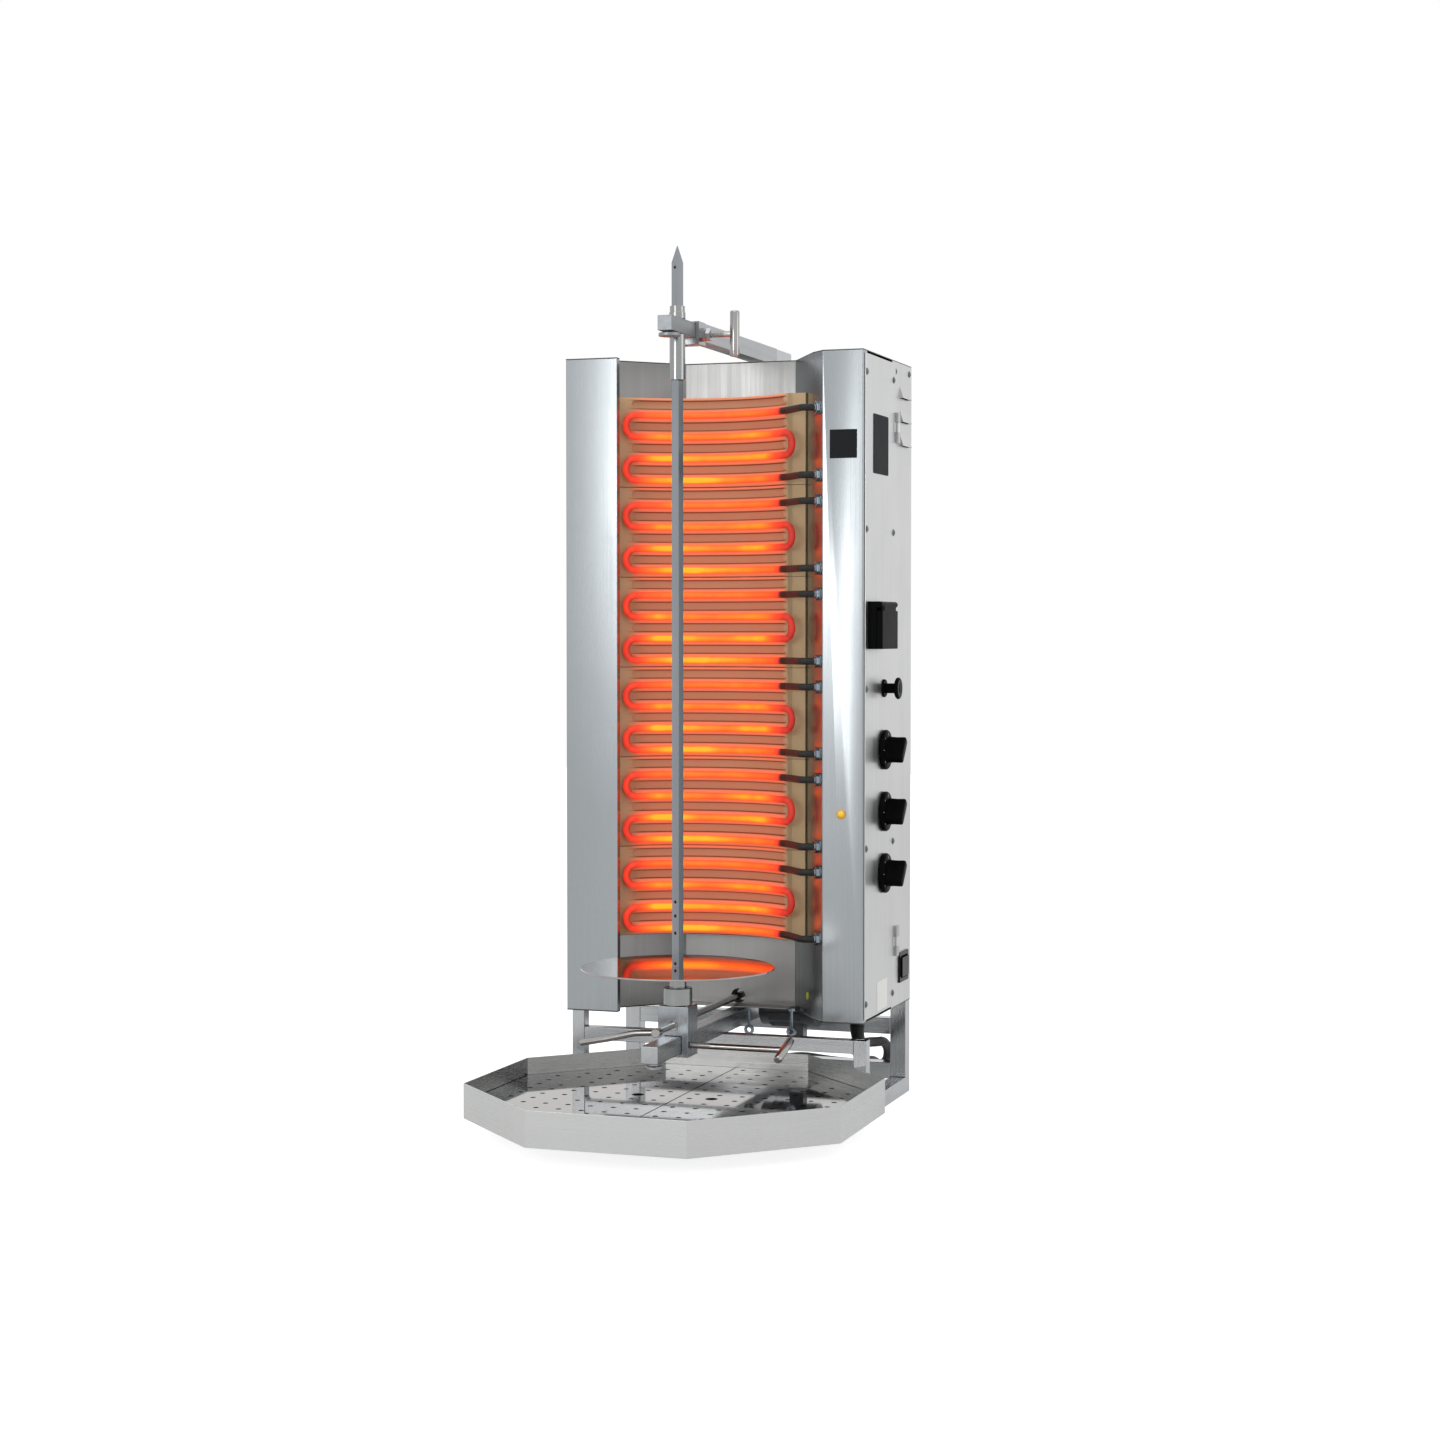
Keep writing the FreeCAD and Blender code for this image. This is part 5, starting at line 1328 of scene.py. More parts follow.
@dataclass
class HeatedWall:
    """Six grooved ceramic plates, their glowing elements, nuts and lugs.

    The wall stands on an arc about its axis, with the plates' faces at face_r. Left, right, the groove's ends
    and the rows' reach are turns in degrees from the wall's middle, and the rest is in metres. A row's warmth
    is a list of shares of its length, from the left, each with how hot it is there.
    """

    count: int = 6
    pitch: float = 0.137
    foot: float = 0.2575
    axis: tuple[float, float] = (-0.020, -0.0505)
    face_r: float = 0.186
    thick: float = 0.010
    left: float = 50.5
    right: float = 41.5
    groove_left: float = 40.4
    groove_right: float = 40.5
    groove_half: float = 0.00625
    groove_deep: float = 0.004
    groove_wall: float = 0.0007
    row_first: float = 0.0275
    row_pitch: float = 0.033
    element_r: float = 0.0052
    stand: float = 0.0085
    reach_left: float = 41.2
    reach_right: float = 36.0
    rows: int = 4
    hairpin: float = 0.0215
    cold_run: float = 0.0288
    knee_out: float = 0.026
    end_inside: float = 0.008
    strip_low: tuple[float, float] = (0.0992, 0.0956)
    strip_high: tuple[float, float] = (0.1284, 0.1034)
    slant_foot: tuple[float, float] = (0.149, 0.0385)
    slant_run: tuple[float, float] = (-0.023, 0.026)
    warmth: tuple[Rows, ...] = (
        ((0.0, 0.46), (0.06, 0.62), (0.2, 0.74), (0.45, 0.72), (0.7, 0.74), (0.9, 0.7), (1.0, 0.6)),
        (
            (0.0, 0.48), (0.06, 0.7), (0.14, 0.9), (0.3, 0.8), (0.5, 0.72), (0.68, 0.84), (0.88, 0.9),
            (0.96, 0.74), (1.0, 0.6),
        ),
        (
            (0.0, 0.48), (0.05, 0.74), (0.12, 1.0), (0.26, 1.0), (0.42, 0.84), (0.6, 0.8), (0.72, 0.92),
            (0.9, 0.96), (0.97, 0.72), (1.0, 0.6),
        ),
        (
            (0.0, 0.48), (0.06, 0.74), (0.16, 0.92), (0.3, 1.0), (0.45, 1.0), (0.6, 0.84), (0.85, 0.78),
            (1.0, 0.66),
        ),
    )

    def at(self, degrees: float, radius: float, z: float) -> Vector:
        """A point on the wall: its turn to the right of the middle, its radius and its height."""
        a = math.radians(degrees)
        return Vector((self.axis[0] + radius * math.sin(a), self.axis[1] + radius * math.cos(a), z))

    def build(self) -> None:
        """Make the plates, lugs, elements and terminals."""
        plates = stacked(self.plate(), "ceramic_wall", CLAY_PAINTED_LIGHT, self.count, self.pitch)
        settle(plates, "frame", "ceramic", *["ceramic_plate_%d" % (i + 1) for i in range(self.count)])
        elements = stacked(self.element(), "heating_elements", GLOW, self.count, self.pitch)
        settle(elements, "frame", "hot_element", *["heater_%d" % (i + 1) for i in range(self.count)])
        self.terminals()

    def columns(self) -> list[tuple[float, float]]:
        """The turns at which the plate's face has a column, each with the groove's half height there.

        Returns:
            Turns in degrees and half heights in metres, from the left.
        """
        cap = math.degrees(self.groove_half / self.face_r)
        gap, plain = 0.25, -46.5  # the joint at each side, and a column on the plain strip at the left
        made = [(-self.left + gap, 0.0), (-self.left + 0.9, 0.0), (plain, 0.0)]
        round_steps, steps = 8, 42
        for k in range(round_steps + 1):
            share = math.cos(math.pi / 2 * k / round_steps)
            made.append(
                (-self.groove_left - cap * share, self.groove_half * math.sqrt(max(0.0, 1 - share**2)))
            )
        for k in range(1, steps + 1):
            made.append(
                (-self.groove_left + (self.groove_left + self.groove_right) * k / steps, self.groove_half)
            )
        made += [(self.groove_right + 0.05, 0.0), (self.right - gap, 0.0)]
        return made

    def row(self, number: int) -> float:
        """The height of a row of the lowest element, counted from its top."""
        return self.foot + self.pitch - self.row_first - number * self.row_pitch

    def plate(self) -> bpy.types.Object:
        """One plate with four round-ended grooves and its flat strip at the right.

        Returns:
            The lowest plate, to be repeated upwards.
        """
        form = Form("plate", CLAY_PAINTED_LIGHT)
        low, high = self.foot + 0.0003, self.foot + self.pitch - 0.0005
        middles = [self.row(k) + self.row_pitch / 2 for k in range(self.rows)]
        face, back, edge = self.face_r, self.face_r + self.thick, 0.0008
        grid = []
        for turn, half in self.columns():
            column = [
                self.at(turn, back, low), self.at(turn, face + edge, low), self.at(turn, face, low + edge)
            ]
            wall = min(half, self.groove_wall)
            deep = self.groove_deep if half > 2 * self.groove_wall else 0.0
            side = ((-half, 0.0), (-half + wall, deep * 0.82), (-half * 0.5, deep))
            for middle in reversed(middles):
                for offset, depth in (*side, *((-offset, depth) for offset, depth in reversed(side))):
                    column.append(self.at(turn, face + depth, min(high - 0.001, middle + offset)))
            column += [
                self.at(turn, face, high - edge), self.at(turn, face + edge, high), self.at(turn, back, high)
            ]
            grid.append(column)
        form.rings(grid)
        form.block((*self.strip_low, low), (*self.strip_high, high))
        for middle in middles:
            self.lug(form, middle)
        return form.made(50)

    def lug(self, form: Form, middle: float) -> None:
        """The small raised end stop that closes a groove at the right.

        Args:
            form: the plate that it is part of.
            middle: the groove's height.
        """
        steps, start, pace = 8, self.groove_right - 3.7, 0.47
        rings = []
        for k in range(steps + 1):
            turn = start + pace * k
            near = min(k, steps - k, 2)
            half = self.groove_half * (0.62, 0.86, 0.98)[near]
            rise = (0.0012, 0.0004, 0.0)[near]
            foot = self.face_r + self.groove_deep
            shoulder, crown = self.face_r + 0.001 + rise, self.face_r - 0.0006 + rise
            side = ((foot, -half), (shoulder, -half), (crown, -half * 0.7))
            lower = [self.at(turn, radius, middle + offset) for radius, offset in side]
            upper = [self.at(turn, radius, middle - offset) for radius, offset in reversed(side)]
            rings.append(lower + upper)
        form.rings(rings)

    def slant(self) -> tuple[Vector, Vector]:
        """The middle of the terminals on the slanted strip, in plan, and the way out of it.

        Returns:
            The place at height 0, and the way out.
        """
        (x, y), (run_x, run_y) = self.slant_foot, self.slant_run
        share = 0.35
        out = Vector((-run_y, run_x, 0)).normalized()
        return Vector((x - (1 - share) * run_x, y + share * run_y, 0)), out

    def rightwards(self, degrees: float) -> Vector:
        """The way along the wall at a turn, towards the right."""
        a = math.radians(degrees)
        return Vector((math.cos(a), -math.sin(a), 0))

    def heat_at(self, row: int, share: float) -> float:
        """How hot a row is, a share of the way from its left end.

        Args:
            row: which row, from the top.
            share: how far along it, from 0 to 1.

        Returns:
            Its heat, from 0 to 1.
        """
        for (a, low), (b, high) in zip(self.warmth[row], self.warmth[row][1:]):
            if share <= b:
                return low + (high - low) * (share - a) / (b - a)
        return self.warmth[row][-1][1]

    def along(self, row: int, rightwards: bool) -> HotLine:
        """The points of one row with their heat.

        Args:
            row: which row, from the top.
            rightwards: whether it is followed to the right.

        Returns:
            The points, each with its heat.
        """
        steps = 44
        shares = [k / steps for k in range(steps + 1)]
        if not rightwards:
            shares.reverse()
        radius, span = self.face_r - self.stand, self.reach_left + self.reach_right
        return [
            (self.at(-self.reach_left + span * s, radius, self.row(row)), self.heat_at(row, s))
            for s in shares
        ]

    def bend(self, start: Vector, heading: Vector, heat: tuple[float, float]) -> HotLine:
        """A hairpin that drops one row.

        Args:
            start: where the upper row ends.
            heading: the way that the hairpin bulges.
            heat: how hot its middle and its ends are.

        Returns:
            The points of the hairpin with their heat.
        """
        half = Vector((0, 0, self.row_pitch / 2))
        points = arc(start - half, half, heading * half.z, 0.0, math.pi, 12)[1:-1]
        count = len(points)
        return [(point, heat[0] if 1 < k < count - 2 else heat[1]) for k, point in enumerate(points)]

    def cold(self, row: int) -> HotLine:
        """From the end of a row out to the terminal and into the box.

        Args:
            row: which row ends there.

        Returns:
            The points with their heat, which has gone by the bend.
        """
        start = self.at(self.reach_right, self.face_r - self.stand, self.row(row))
        way = self.rightwards(self.reach_right)
        corner = start + way * self.cold_run
        foot, out = self.slant()
        foot.z = self.row(row)
        knee, inside = foot + out * self.knee_out, foot - out * self.end_inside
        turn = (knee - corner).angle(inside - knee)
        cooling = ((0.001, 0.56), (0.006, 0.5), (0.010, 0.4), (0.014, 0.22), (0.018, 0.06))
        bends = [0.020, 0.012 / math.tan(turn / 2)]
        dark = eased([start + way * 0.0185, corner, knee, inside], bends, 9)[1:]
        return [(start + way * d, heat) for d, heat in cooling] + [(point, 0.0) for point in dark]

    def element(self) -> bpy.types.Object:
        """One element: four rows, three hairpins and two cold ends, with its heat mapped on.

        Returns:
            The lowest element, to be repeated upwards.
        """
        radius = self.face_r - self.stand
        leftwards, rightwards = -self.rightwards(-self.reach_left), self.rightwards(self.reach_right)
        ends = [self.at(-self.reach_left, radius, self.row(k)) for k in (0, 2)]
        upper, lower = (self.at(self.reach_right, radius, self.row(k)) for k in (1, 2))
        lead_out = ((0.007, 0.52), (0.014, 0.44), (self.hairpin, 0.38))
        path = self.cold(0)[::-1] + self.along(0, False)
        path += self.bend(ends[0], leftwards, (0.38, 0.44)) + self.along(1, True)
        path += [(upper + rightwards * d, h) for d, h in lead_out]
        path += self.bend(upper + rightwards * self.hairpin, rightwards, (0.31, 0.36))
        path += [(lower + rightwards * d, h) for d, h in reversed(lead_out)] + self.along(2, False)
        path += self.bend(ends[1], leftwards, (0.38, 0.44)) + self.along(3, True) + self.cold(3)
        same = 1e-5
        kept = [path[0]] + [b for a, b in zip(path, path[1:]) if (b[0] - a[0]).length > same]
        line, heats = zip(*kept)
        form = Form("element", GLOW)
        # painted shading: the side of each tube towards the camera is painted brightest
        painted_bright_side = Vector((0.12, -0.98, 0.15)).normalized()
        form.tube(line, [self.element_r] * len(line), 16, 0, heats, painted_bright_side)
        return form.made(60)

    def terminals(self) -> None:
        """The hex nuts, washers and seals at the cold ends."""
        foot, out = self.slant()
        form = Form("terminal", ZINC)
        form.turned((0, 0, 0), out, [(0.0, 0.0099), (0.0011, 0.0099), (0.0014, 0.0094), (0.0014, 0.0044)], 32)
        corner = hex_corner(0.0085)
        nut = [
            (0.0014, corner * 0.93), (0.0021, corner), (0.0066, corner), (0.0074, corner * 0.9),
            (0.0074, 0.0046),
        ]
        form.turned((0, 0, 0), out, nut, 6, first=math.radians(8))
        form.turned((0, 0, 0), out, [(0.0074, 0.0058), (0.0094, 0.0056), (0.0096, 0.0044)], 24)
        one = bevelled(form.made(), 0.0003)
        places = []
        for i in range(self.count):
            for drop in (self.row_first, self.row_first + (self.rows - 1) * self.row_pitch):
                places.append((foot.x, foot.y, self.foot + self.pitch * (i + 1) - drop))
        settle(scattered(one, "terminal_set", ZINC, places), "frame", "zinc_hardware", "terminal_nuts")


# ---- skewer, its drive and the upper bearing ----


@dataclass
class SkewerDrive:
    """The sliding gear block with its lever and clamp, the skewer, the disc and the gearmotor."""

    y: float = SKEWER_Y
    block_top: float = 0.185
    block_front: float = 0.021
    bar: float = 0.0045
    rod: float = 0.0044
    lever_z: float = 0.157
    lever_out: float = 0.066
    lever_long: float = 0.114
    lever_droop: float = 0.013
    clamp_y: float = 0.008
    clamp_z: float = 0.1285
    clamp_reach: float = 0.163
    clamp_cross: float = 0.068
    clamp_tilt: float = 16.0
    fins: int = 9
    fin_r: float = 0.0325
    motor_z: float = 0.143

    def build(self) -> None:
        """Dress the block, the turned parts and the motor."""
        settle(copied("gear_block", BLOCK, 0.0009, 3), "carriage", "block_steel")
        bearing = Form("bearing_collar", BRIGHT)
        ring = [
            (0.0, 0.0127), (0.0, 0.0202), (0.0008, 0.021), (0.0242, 0.021), (0.025, 0.0202), (0.025, 0.0136),
            (0.0242, 0.0127),
        ]
        bearing.turned((0, self.y, self.block_top), Axis.Z.vector, ring, 64, closed=False)
        settle(self.ringed(bearing), "carriage", "block_steel", "lower_bearing")
        settle(copied("skewer_socket", BRIGHT, 0.0003), "socket", "block_steel")
        settle(copied("drive_shaft", HANDLE, 0.0002), "drive", "block_steel")
        settle(copied("skewer", SKEWER, 0.0004, 2), "skewer", "skewer_steel")
        settle(copied("meat_disc", DISC, 0.0005, 2), "disc", "disc_steel")
        self.lever()
        self.clamp()
        self.motor()

    def ringed(self, form: Form) -> bpy.types.Object:
        """Join the open ends of a turned ring into a closed wall.

        Args:
            form: the turned form.

        Returns:
            The closed ring.
        """
        bm = form.bm
        ends = [e for e in bm.edges if len(e.link_faces) == 1]
        bmesh.ops.bridge_loops(bm, edges=ends)
        return form.made()

    def lever(self) -> None:
        """The bent clutch lever with its round hub and domed tip."""
        y, z = self.y - self.block_front - self.lever_out, self.lever_z
        forwards = -Axis.Y.vector
        form = Form("clutch_lever_turned", HANDLE)
        form.turned((0, self.y - 0.018, z), forwards, [(0.0, 0.004), (0.069, 0.004)], 24)
        form.turned((0, y + 0.007, z), forwards, domed(0.014, [(0.0, 0.0058), (0.0007, 0.0065)]), 32)
        form.turned(
            (0, self.y - 0.0215, z), forwards, [(0.0, 0.0072), (0.0012, 0.0072), (0.0018, 0.0066)], 32
        )
        bends = ((0.0, 0.0), (-0.3, -0.18), (-0.66, -0.95), (-1.0, -1.55))
        corners = [Vector((x * self.lever_long, y, z + up * self.lever_droop)) for x, up in bends]
        line = eased(corners, [0.07, 0.09], 8)
        radii = [self.rod] * len(line)
        end = (line[-1] - line[-2]).normalized()
        for ahead, share in ((0.0012, 0.95), (0.0022, 0.8), (0.0029, 0.5)):
            line.append(corners[-1] + end * ahead)
            radii.append(self.rod * share)
        form.tube(line, radii, 20)
        settle(form.made(40), "clutch", "handle_steel", "clutch_lever")

    def clamp(self) -> None:
        """The clamp screw below the bearing with its sliding cross bar."""
        y, z = self.y - self.clamp_y, self.clamp_z
        reach, cross, tilt = self.clamp_reach, self.clamp_cross, math.radians(self.clamp_tilt)
        form = Form("clamp_screw_turned", HANDLE)
        profile = [(0.0129, self.bar), *threaded(0.0235, 0.052), (0.157, self.bar), (reach, self.bar)]
        form.turned((0, y, z), Axis.X.vector, profile, 24)
        way = Vector((0, math.cos(tilt), math.sin(tilt)))
        start = Vector((reach, y, z)) - way * cross / 2
        form.turned(start, way, domed(cross, [(0.0, 0.0038), (0.0012, 0.0052), (0.003, 0.006)]), 32)
        settle(form.made(40), "lower_clamp", "handle_steel", "lower_clamp_screw")

    def motor(self) -> None:
        """The gearbox, its hollow quill, the ribbed motor and the two eyebolts."""
        settle(copied("gearbox", HOUSING, 0.002, 3), "frame", "gear_housing")
        settle(copied("output_quill", BRIGHT, 0.0003), "quill", "gear_housing")
        settle(copied("motor", PAINT, 0.0008, 2), "frame", "motor_paint")
        fin = Form("fin", PAINT)
        fin.block((-0.026, -0.0009, -0.0016), (0.026, 0.0009, 0.0016))
        low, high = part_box("motor")
        centre = Vector((low.x + 0.04, (low.y + high.y) / 2, self.motor_z))
        backwards, upwards = Axis.Y.vector * self.fin_r, Axis.Z.vector * self.fin_r
        start, end = math.radians(-160), math.radians(-20)
        places = arc(centre, backwards, upwards, start, end, self.fins - 1)
        settle(scattered(bevelled(fin.made(), 0.0004), "motor_fins", PAINT, places), "frame", "motor_paint")
        settle(copied("hanger_bolts", ZINC, 0.0003), "frame", "zinc_hardware")


@dataclass
class UpperBearing:
    """The sliding bar on the upper arm with its sleeve and tommy-bar screw."""

    y: float = SKEWER_Y + 0.063
    z: float = 1.153
    bar: float = 0.0045
    reach: float = 0.0655
    cross: float = 0.066

    def build(self) -> None:
        """Dress the bar and turn the sleeve and the screw."""
        settle(copied("bearing_bar", BAR_PAINTED_DARKER, 0.0012, 3), "upper_holder", "block_steel")
        settle(copied("upper_sleeve", BRIGHT, 0.0005, 2), "sleeve", "skewer_steel")
        form = Form("upper_screw_turned", HANDLE)
        profile = [(0.0112, self.bar), *threaded(0.031, 0.05), (self.reach, self.bar)]
        form.turned((0, self.y, self.z), Axis.X.vector, profile, 24)
        dome = domed(self.cross, [(0.0, 0.0056), (0.0008, 0.0066), (0.0022, 0.007)])
        form.turned((self.reach, self.y, self.z - self.cross / 2), Axis.Z.vector, dome, 36)
        settle(form.made(40), "upper_clamp", "handle_steel", "upper_clamp_screw")


# ---- drip tray ----


@dataclass
class DripTray:
    """The octagonal tray and its two mirror plates with square rows of drain holes.

    Across and along are the holes' pitches, reach is from the tray's middle to the outermost hole, and a hole
    keeps clear of the lifting fingers and of the feet under the plates.
    """

    hole: float = 0.004
    across: float = 0.0345
    along: float = 0.0357
    reach: float = 0.262
    drill: float = 0.012
    y: float = -0.124
    fingers: Rows = ((-0.063, -0.1095), (0.050, -0.1095))
    feet: Rows = ((0.07, 0.17), (0.2, 0.08))
    first_left: tuple[float, float] = (-0.026, -0.144)
    first_right: tuple[float, float] = (0.018, -0.151)
    finger_clear: float = 0.0145
    foot_clear: float = 0.009

    def build(self) -> None:
        """Brush the tray and drill the plates."""
        settle(copied("tray", TRAY_PAINTED_LIGHTER, 0.0005, 2), "tray", "tray_steel")
        for side, way in (("left", -1), ("right", 1)):
            self.plate(side, way)

    def places(self, way: int) -> list[Vector]:
        """Where the holes of one plate go: a square grid kept inside its outline.

        Args:
            way: -1 for the left plate and 1 for the right one.

        Returns:
            The places, on the plate's upper face.
        """
        found = []
        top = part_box("perforated_plate_left")[1].z
        start = self.first_left if way < 0 else self.first_right
        fingers = [Vector(finger) for finger in self.fingers]
        feet = [Vector((way * x, self.y + side * y)) for x, y in self.feet for side in (-1, 1)]
        for j in range(-8, 12):
            for i in range(8):
                spot = Vector((start[0] + way * i * self.across, start[1] + j * self.along))
                x, y = abs(spot.x), abs(spot.y - self.y)
                inside = max(x, y, (x + y) / math.sqrt(2)) < self.reach
                off_fingers = min((finger - spot).length for finger in fingers) > self.finger_clear
                off_feet = min((foot - spot).length for foot in feet) > self.foot_clear
                if inside and off_fingers and off_feet:
                    found.append(Vector((*spot, top)))
        return found

    def plate(self, side: str, way: int) -> None:
        """One plate with its holes cut by the tree.

        Args:
            side: left or right.
            way: -1 for the left plate and 1 for the right one.
        """
        host = copied("perforated_plate_" + side, MIRROR, 0.0)
        marks = cloud("places_" + side, self.places(way))
        repeat = Repeat("drain_holes_" + side, MIRROR)
        radius = repeat.size("Hole radius", self.hole)
        depth = repeat.size("Hole depth", self.drill)
        graph = repeat.graph
        info = graph.add("GeometryNodeObjectInfo", {"Object": repeat.size("Places", marks, "Object")})
        points = graph.add("GeometryNodeMeshToPoints", {"Mesh": info.outputs["Geometry"]})
        drill = graph.add("GeometryNodeMeshCylinder", {"Vertices": 20, "Radius": radius, "Depth": depth})
        placed = graph.add(
            "GeometryNodeInstanceOnPoints", {"Points": points.outputs[0], "Instance": drill.outputs[0]}
        )
        bits = graph.add("GeometryNodeRealizeInstances", {"Geometry": placed.outputs[0]})
        parts = {0: repeat.entry.outputs[0], 1: bits.outputs[0]}
        cutter = graph.add("GeometryNodeMeshBoolean", parts, operation="DIFFERENCE")
        made = repeat.run(host, cutter.outputs[0])
        bpy.data.objects.remove(marks)
        bm = bmesh.new()
        bm.from_mesh(made.data)
        crease(bm, CRISP)
        bm.to_mesh(made.data)
        bm.free()
        settle(made, "plate_" + side, "mirror_steel")


# ---- service door and controls ----


@dataclass
class ServiceDoor:
    """The side door with its knobs, socket, plates and hinges.

    Flange is a knob's profile: distances from the door and radii. Grip is its bar: distances, widths and
    lengths. Lean is the turn of the bar in degrees, and corners how square its outline is. The plate's and
    the label's corners are given backwards and upwards, in metres.
    """

    face: float = 0.2359
    y: float = 0.1485
    knobs: tuple[float, ...] = (0.359, 0.452, 0.545)
    gap: float = 0.0005
    flange: Rows = ((0.0, 0.0292), (0.001, 0.03), (0.0042, 0.03), (0.0062, 0.0288), (0.007, 0.0268))
    grip: Rows = (
        (0.0, 0.0165, 0.0435), (0.002, 0.0152, 0.0425), (0.012, 0.0138, 0.0418), (0.0225, 0.0146, 0.042),
        (0.0246, 0.0136, 0.0406), (0.025, 0.012, 0.039),
    )
    lean: float = 50.0
    corners: float = 0.35
    push_z: float = 0.6375
    plate_y: tuple[float, float] = (0.0895, 0.1665)
    plate_z: tuple[float, float] = (0.960, 1.042)
    plate_round: float = 0.003
    label_low: tuple[float, float] = (0.1125, 0.154)
    label_high: tuple[float, float] = (0.1705, 0.198)

    def build(self) -> None:
        """Dress the door and everything that it carries."""
        settle(copied("service_door", CASING_PAINTED_LIGHTER, 0.0006, 2), "door", "casing_steel")
        settle(copied("door_hinges", HINGE, 0.0004, 2), "frame", "hinge_steel")
        settle(copied("regulators", BLACK, 0.001, 2), "door", "black_plastic")
        settle(copied("socket_box", BLACK, 0.0012, 3), "door", "black_plastic")
        for k, (z, body) in enumerate(zip(self.knobs, ("knob_a", "knob_b", "knob_c"))):
            self.knob(k + 1, z, body)
        self.push()
        self.lid()
        self.plates()

    def knob(self, number: int, z: float, body: str) -> None:
        """A round flange with pale marks and a leaning bar grip.

        Args:
            number: which knob, from the bottom.
            z: its height.
            body: the body that it turns with.
        """
        base = self.face + self.gap
        top = base + self.flange[-1][0]
        form = Form("turn_knob_%d" % number, BLACK, MARKS)
        form.turned((base, self.y, z), Axis.X.vector, self.flange, 64)
        form.turned((self.face - 0.017, self.y, z), Axis.X.vector, [(0.0, 0.004), (0.02, 0.004)], 24)
        lean = Matrix.Rotation(math.radians(self.lean), 3, "X")
        form.rings(
            [self.bar(Vector((top + along, self.y, z)), lean, long, wide) for along, wide, long in self.grip]
        )
        form.block(
            (base + 0.0318, self.y + 0.008, z - 0.0007), (base + 0.0322, self.y + 0.019, z + 0.0007), 1
        )
        self.ticks(form, top, z)
        settle(bevelled(form.made(35), 0.0003, 1), body, "black_plastic", "knob_%d" % number)

    def bar(self, middle: Vector, lean: Matrix, long: float, wide: float) -> list[Vector]:
        """One round-cornered outline of the bar grip.

        Args:
            middle: where its middle is.
            lean: how the bar is turned.
            long: its length.
            wide: its width.

        Returns:
            The points of the outline.
        """
        sides = 24
        ring = []
        for k in range(sides):
            a = 2 * math.pi * k / sides
            u, v = (math.copysign(abs(part) ** self.corners, part) for part in (math.cos(a), math.sin(a)))
            ring.append(middle + lean @ Vector((0, u * long / 2, v * wide / 2)))
        return ring

    def ticks(self, form: Form, x: float, z: float) -> None:
        """Short pale ticks round the flange, one longer at off.

        Args:
            form: the knob that they are part of.
            x: the flange's front.
            z: the knob's height.
        """
        count, off, rim, half = 7, 3, 0.0262, 0.0005
        for k in range(count):
            spin = Matrix.Rotation(math.radians(-135 + 45 * k), 3, "X")
            inner = rim - (0.0045 if k == off else 0.0028)
            outline = ((rim, -half), (inner, -half), (inner, half), (rim, half))
            corners = [Vector((x, self.y, z)) + spin @ Vector((0, w, r)) for r, w in outline]
            form.rings([[p + Vector((d, 0, 0)) for p in corners] for d in (-0.0003, 0.0002)], 1)

    def push(self) -> None:
        """The mushroom knob with its paler dished face."""
        form = Form("push_button", BLACK, BLACK_FACE)
        foot, across = Vector((self.face - 0.0015, self.y, self.push_z)), Axis.X.vector
        cap = [
            (0.0195, 0.0098), (0.0205, 0.0135), (0.022, 0.0158), (0.0238, 0.0165), (0.0256, 0.016),
            (0.0266, 0.0146),
        ]
        form.turned(foot - across * 0.016, across, [(0.0, 0.0075), (0.037, 0.0075)], 32)
        form.turned(foot, across, cap, 48)
        form.turned(
            foot, across, [(0.0262, 0.0138), (0.0269, 0.0132), (0.0266, 0.008), (0.0264, 0.002)], 48, 1
        )
        settle(form.made(40), "push_knob", "black_plastic", "mushroom_knob")
        collar = Form("push_collar", BLACK)
        seat = [
            (0.0, 0.0082), (0.0, 0.0135), (0.0025, 0.0135), (0.0035, 0.0125), (0.0035, 0.0082), (0.0, 0.0082)
        ]
        collar.turned(foot + across * 0.001, across, seat, 48, closed=False)
        settle(collar.made(40), "door", "black_plastic")

    def lid(self) -> None:
        """The hinged socket lid with two long rolls down its face."""
        settle(copied("socket_lid", BLACK, 0.0012, 3), "lid", "black_plastic")
        low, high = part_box("socket_lid")
        form = Form("lid_rolls", BLACK_FACE)
        foot, top, back = low.z + 0.004, high.z - 0.006, high.x - 0.0032
        for y, radius in ((low.y + 0.018, 0.0135), (low.y + 0.049, 0.014)):
            rings = []
            for z, trim in ((foot, 0.0006), (foot + 0.001, 0.0), (top - 0.001, 0.0), (top, 0.0006)):
                middle, half, rise = Vector((high.x - 0.0028, y, z)), radius - trim, 0.0026 - trim
                points = arc(middle, -Axis.Y.vector * half, Axis.X.vector * rise, 0.0, math.pi, 16)
                rings.append(points + [Vector((back, y + half, z)), Vector((back, y - half, z))])
            form.rings(rings)
        settle(form.made(50), "lid", "black_plastic")

    def plates(self) -> None:
        """The bare rating plate and the bare white label."""
        x, quarter = self.face, math.pi / 2
        (near, far), (foot, top) = self.plate_y, self.plate_z
        sideways, upwards = Axis.Y.vector * self.plate_round, Axis.Z.vector * self.plate_round
        plate = Form("blank_plate", PLATE)
        outline = []
        for turn, (y, z) in enumerate(((far, top), (near, top), (near, foot), (far, foot))):
            outline += arc(Vector((x, y, z)), sideways, upwards, turn * quarter, (turn + 1) * quarter, 5)
        plate.rings([[p + Vector((d, 0, 0)) for p in outline] for d in (0.0, 0.0008)])
        settle(plate.made(), "door", "black_plastic")
        label = Form("blank_label", LABEL)
        label.block((x, *self.label_low), (x + 0.0003, *self.label_high))
        settle(bevelled(label.made(), 0.0001, 1), "door", "black_plastic")


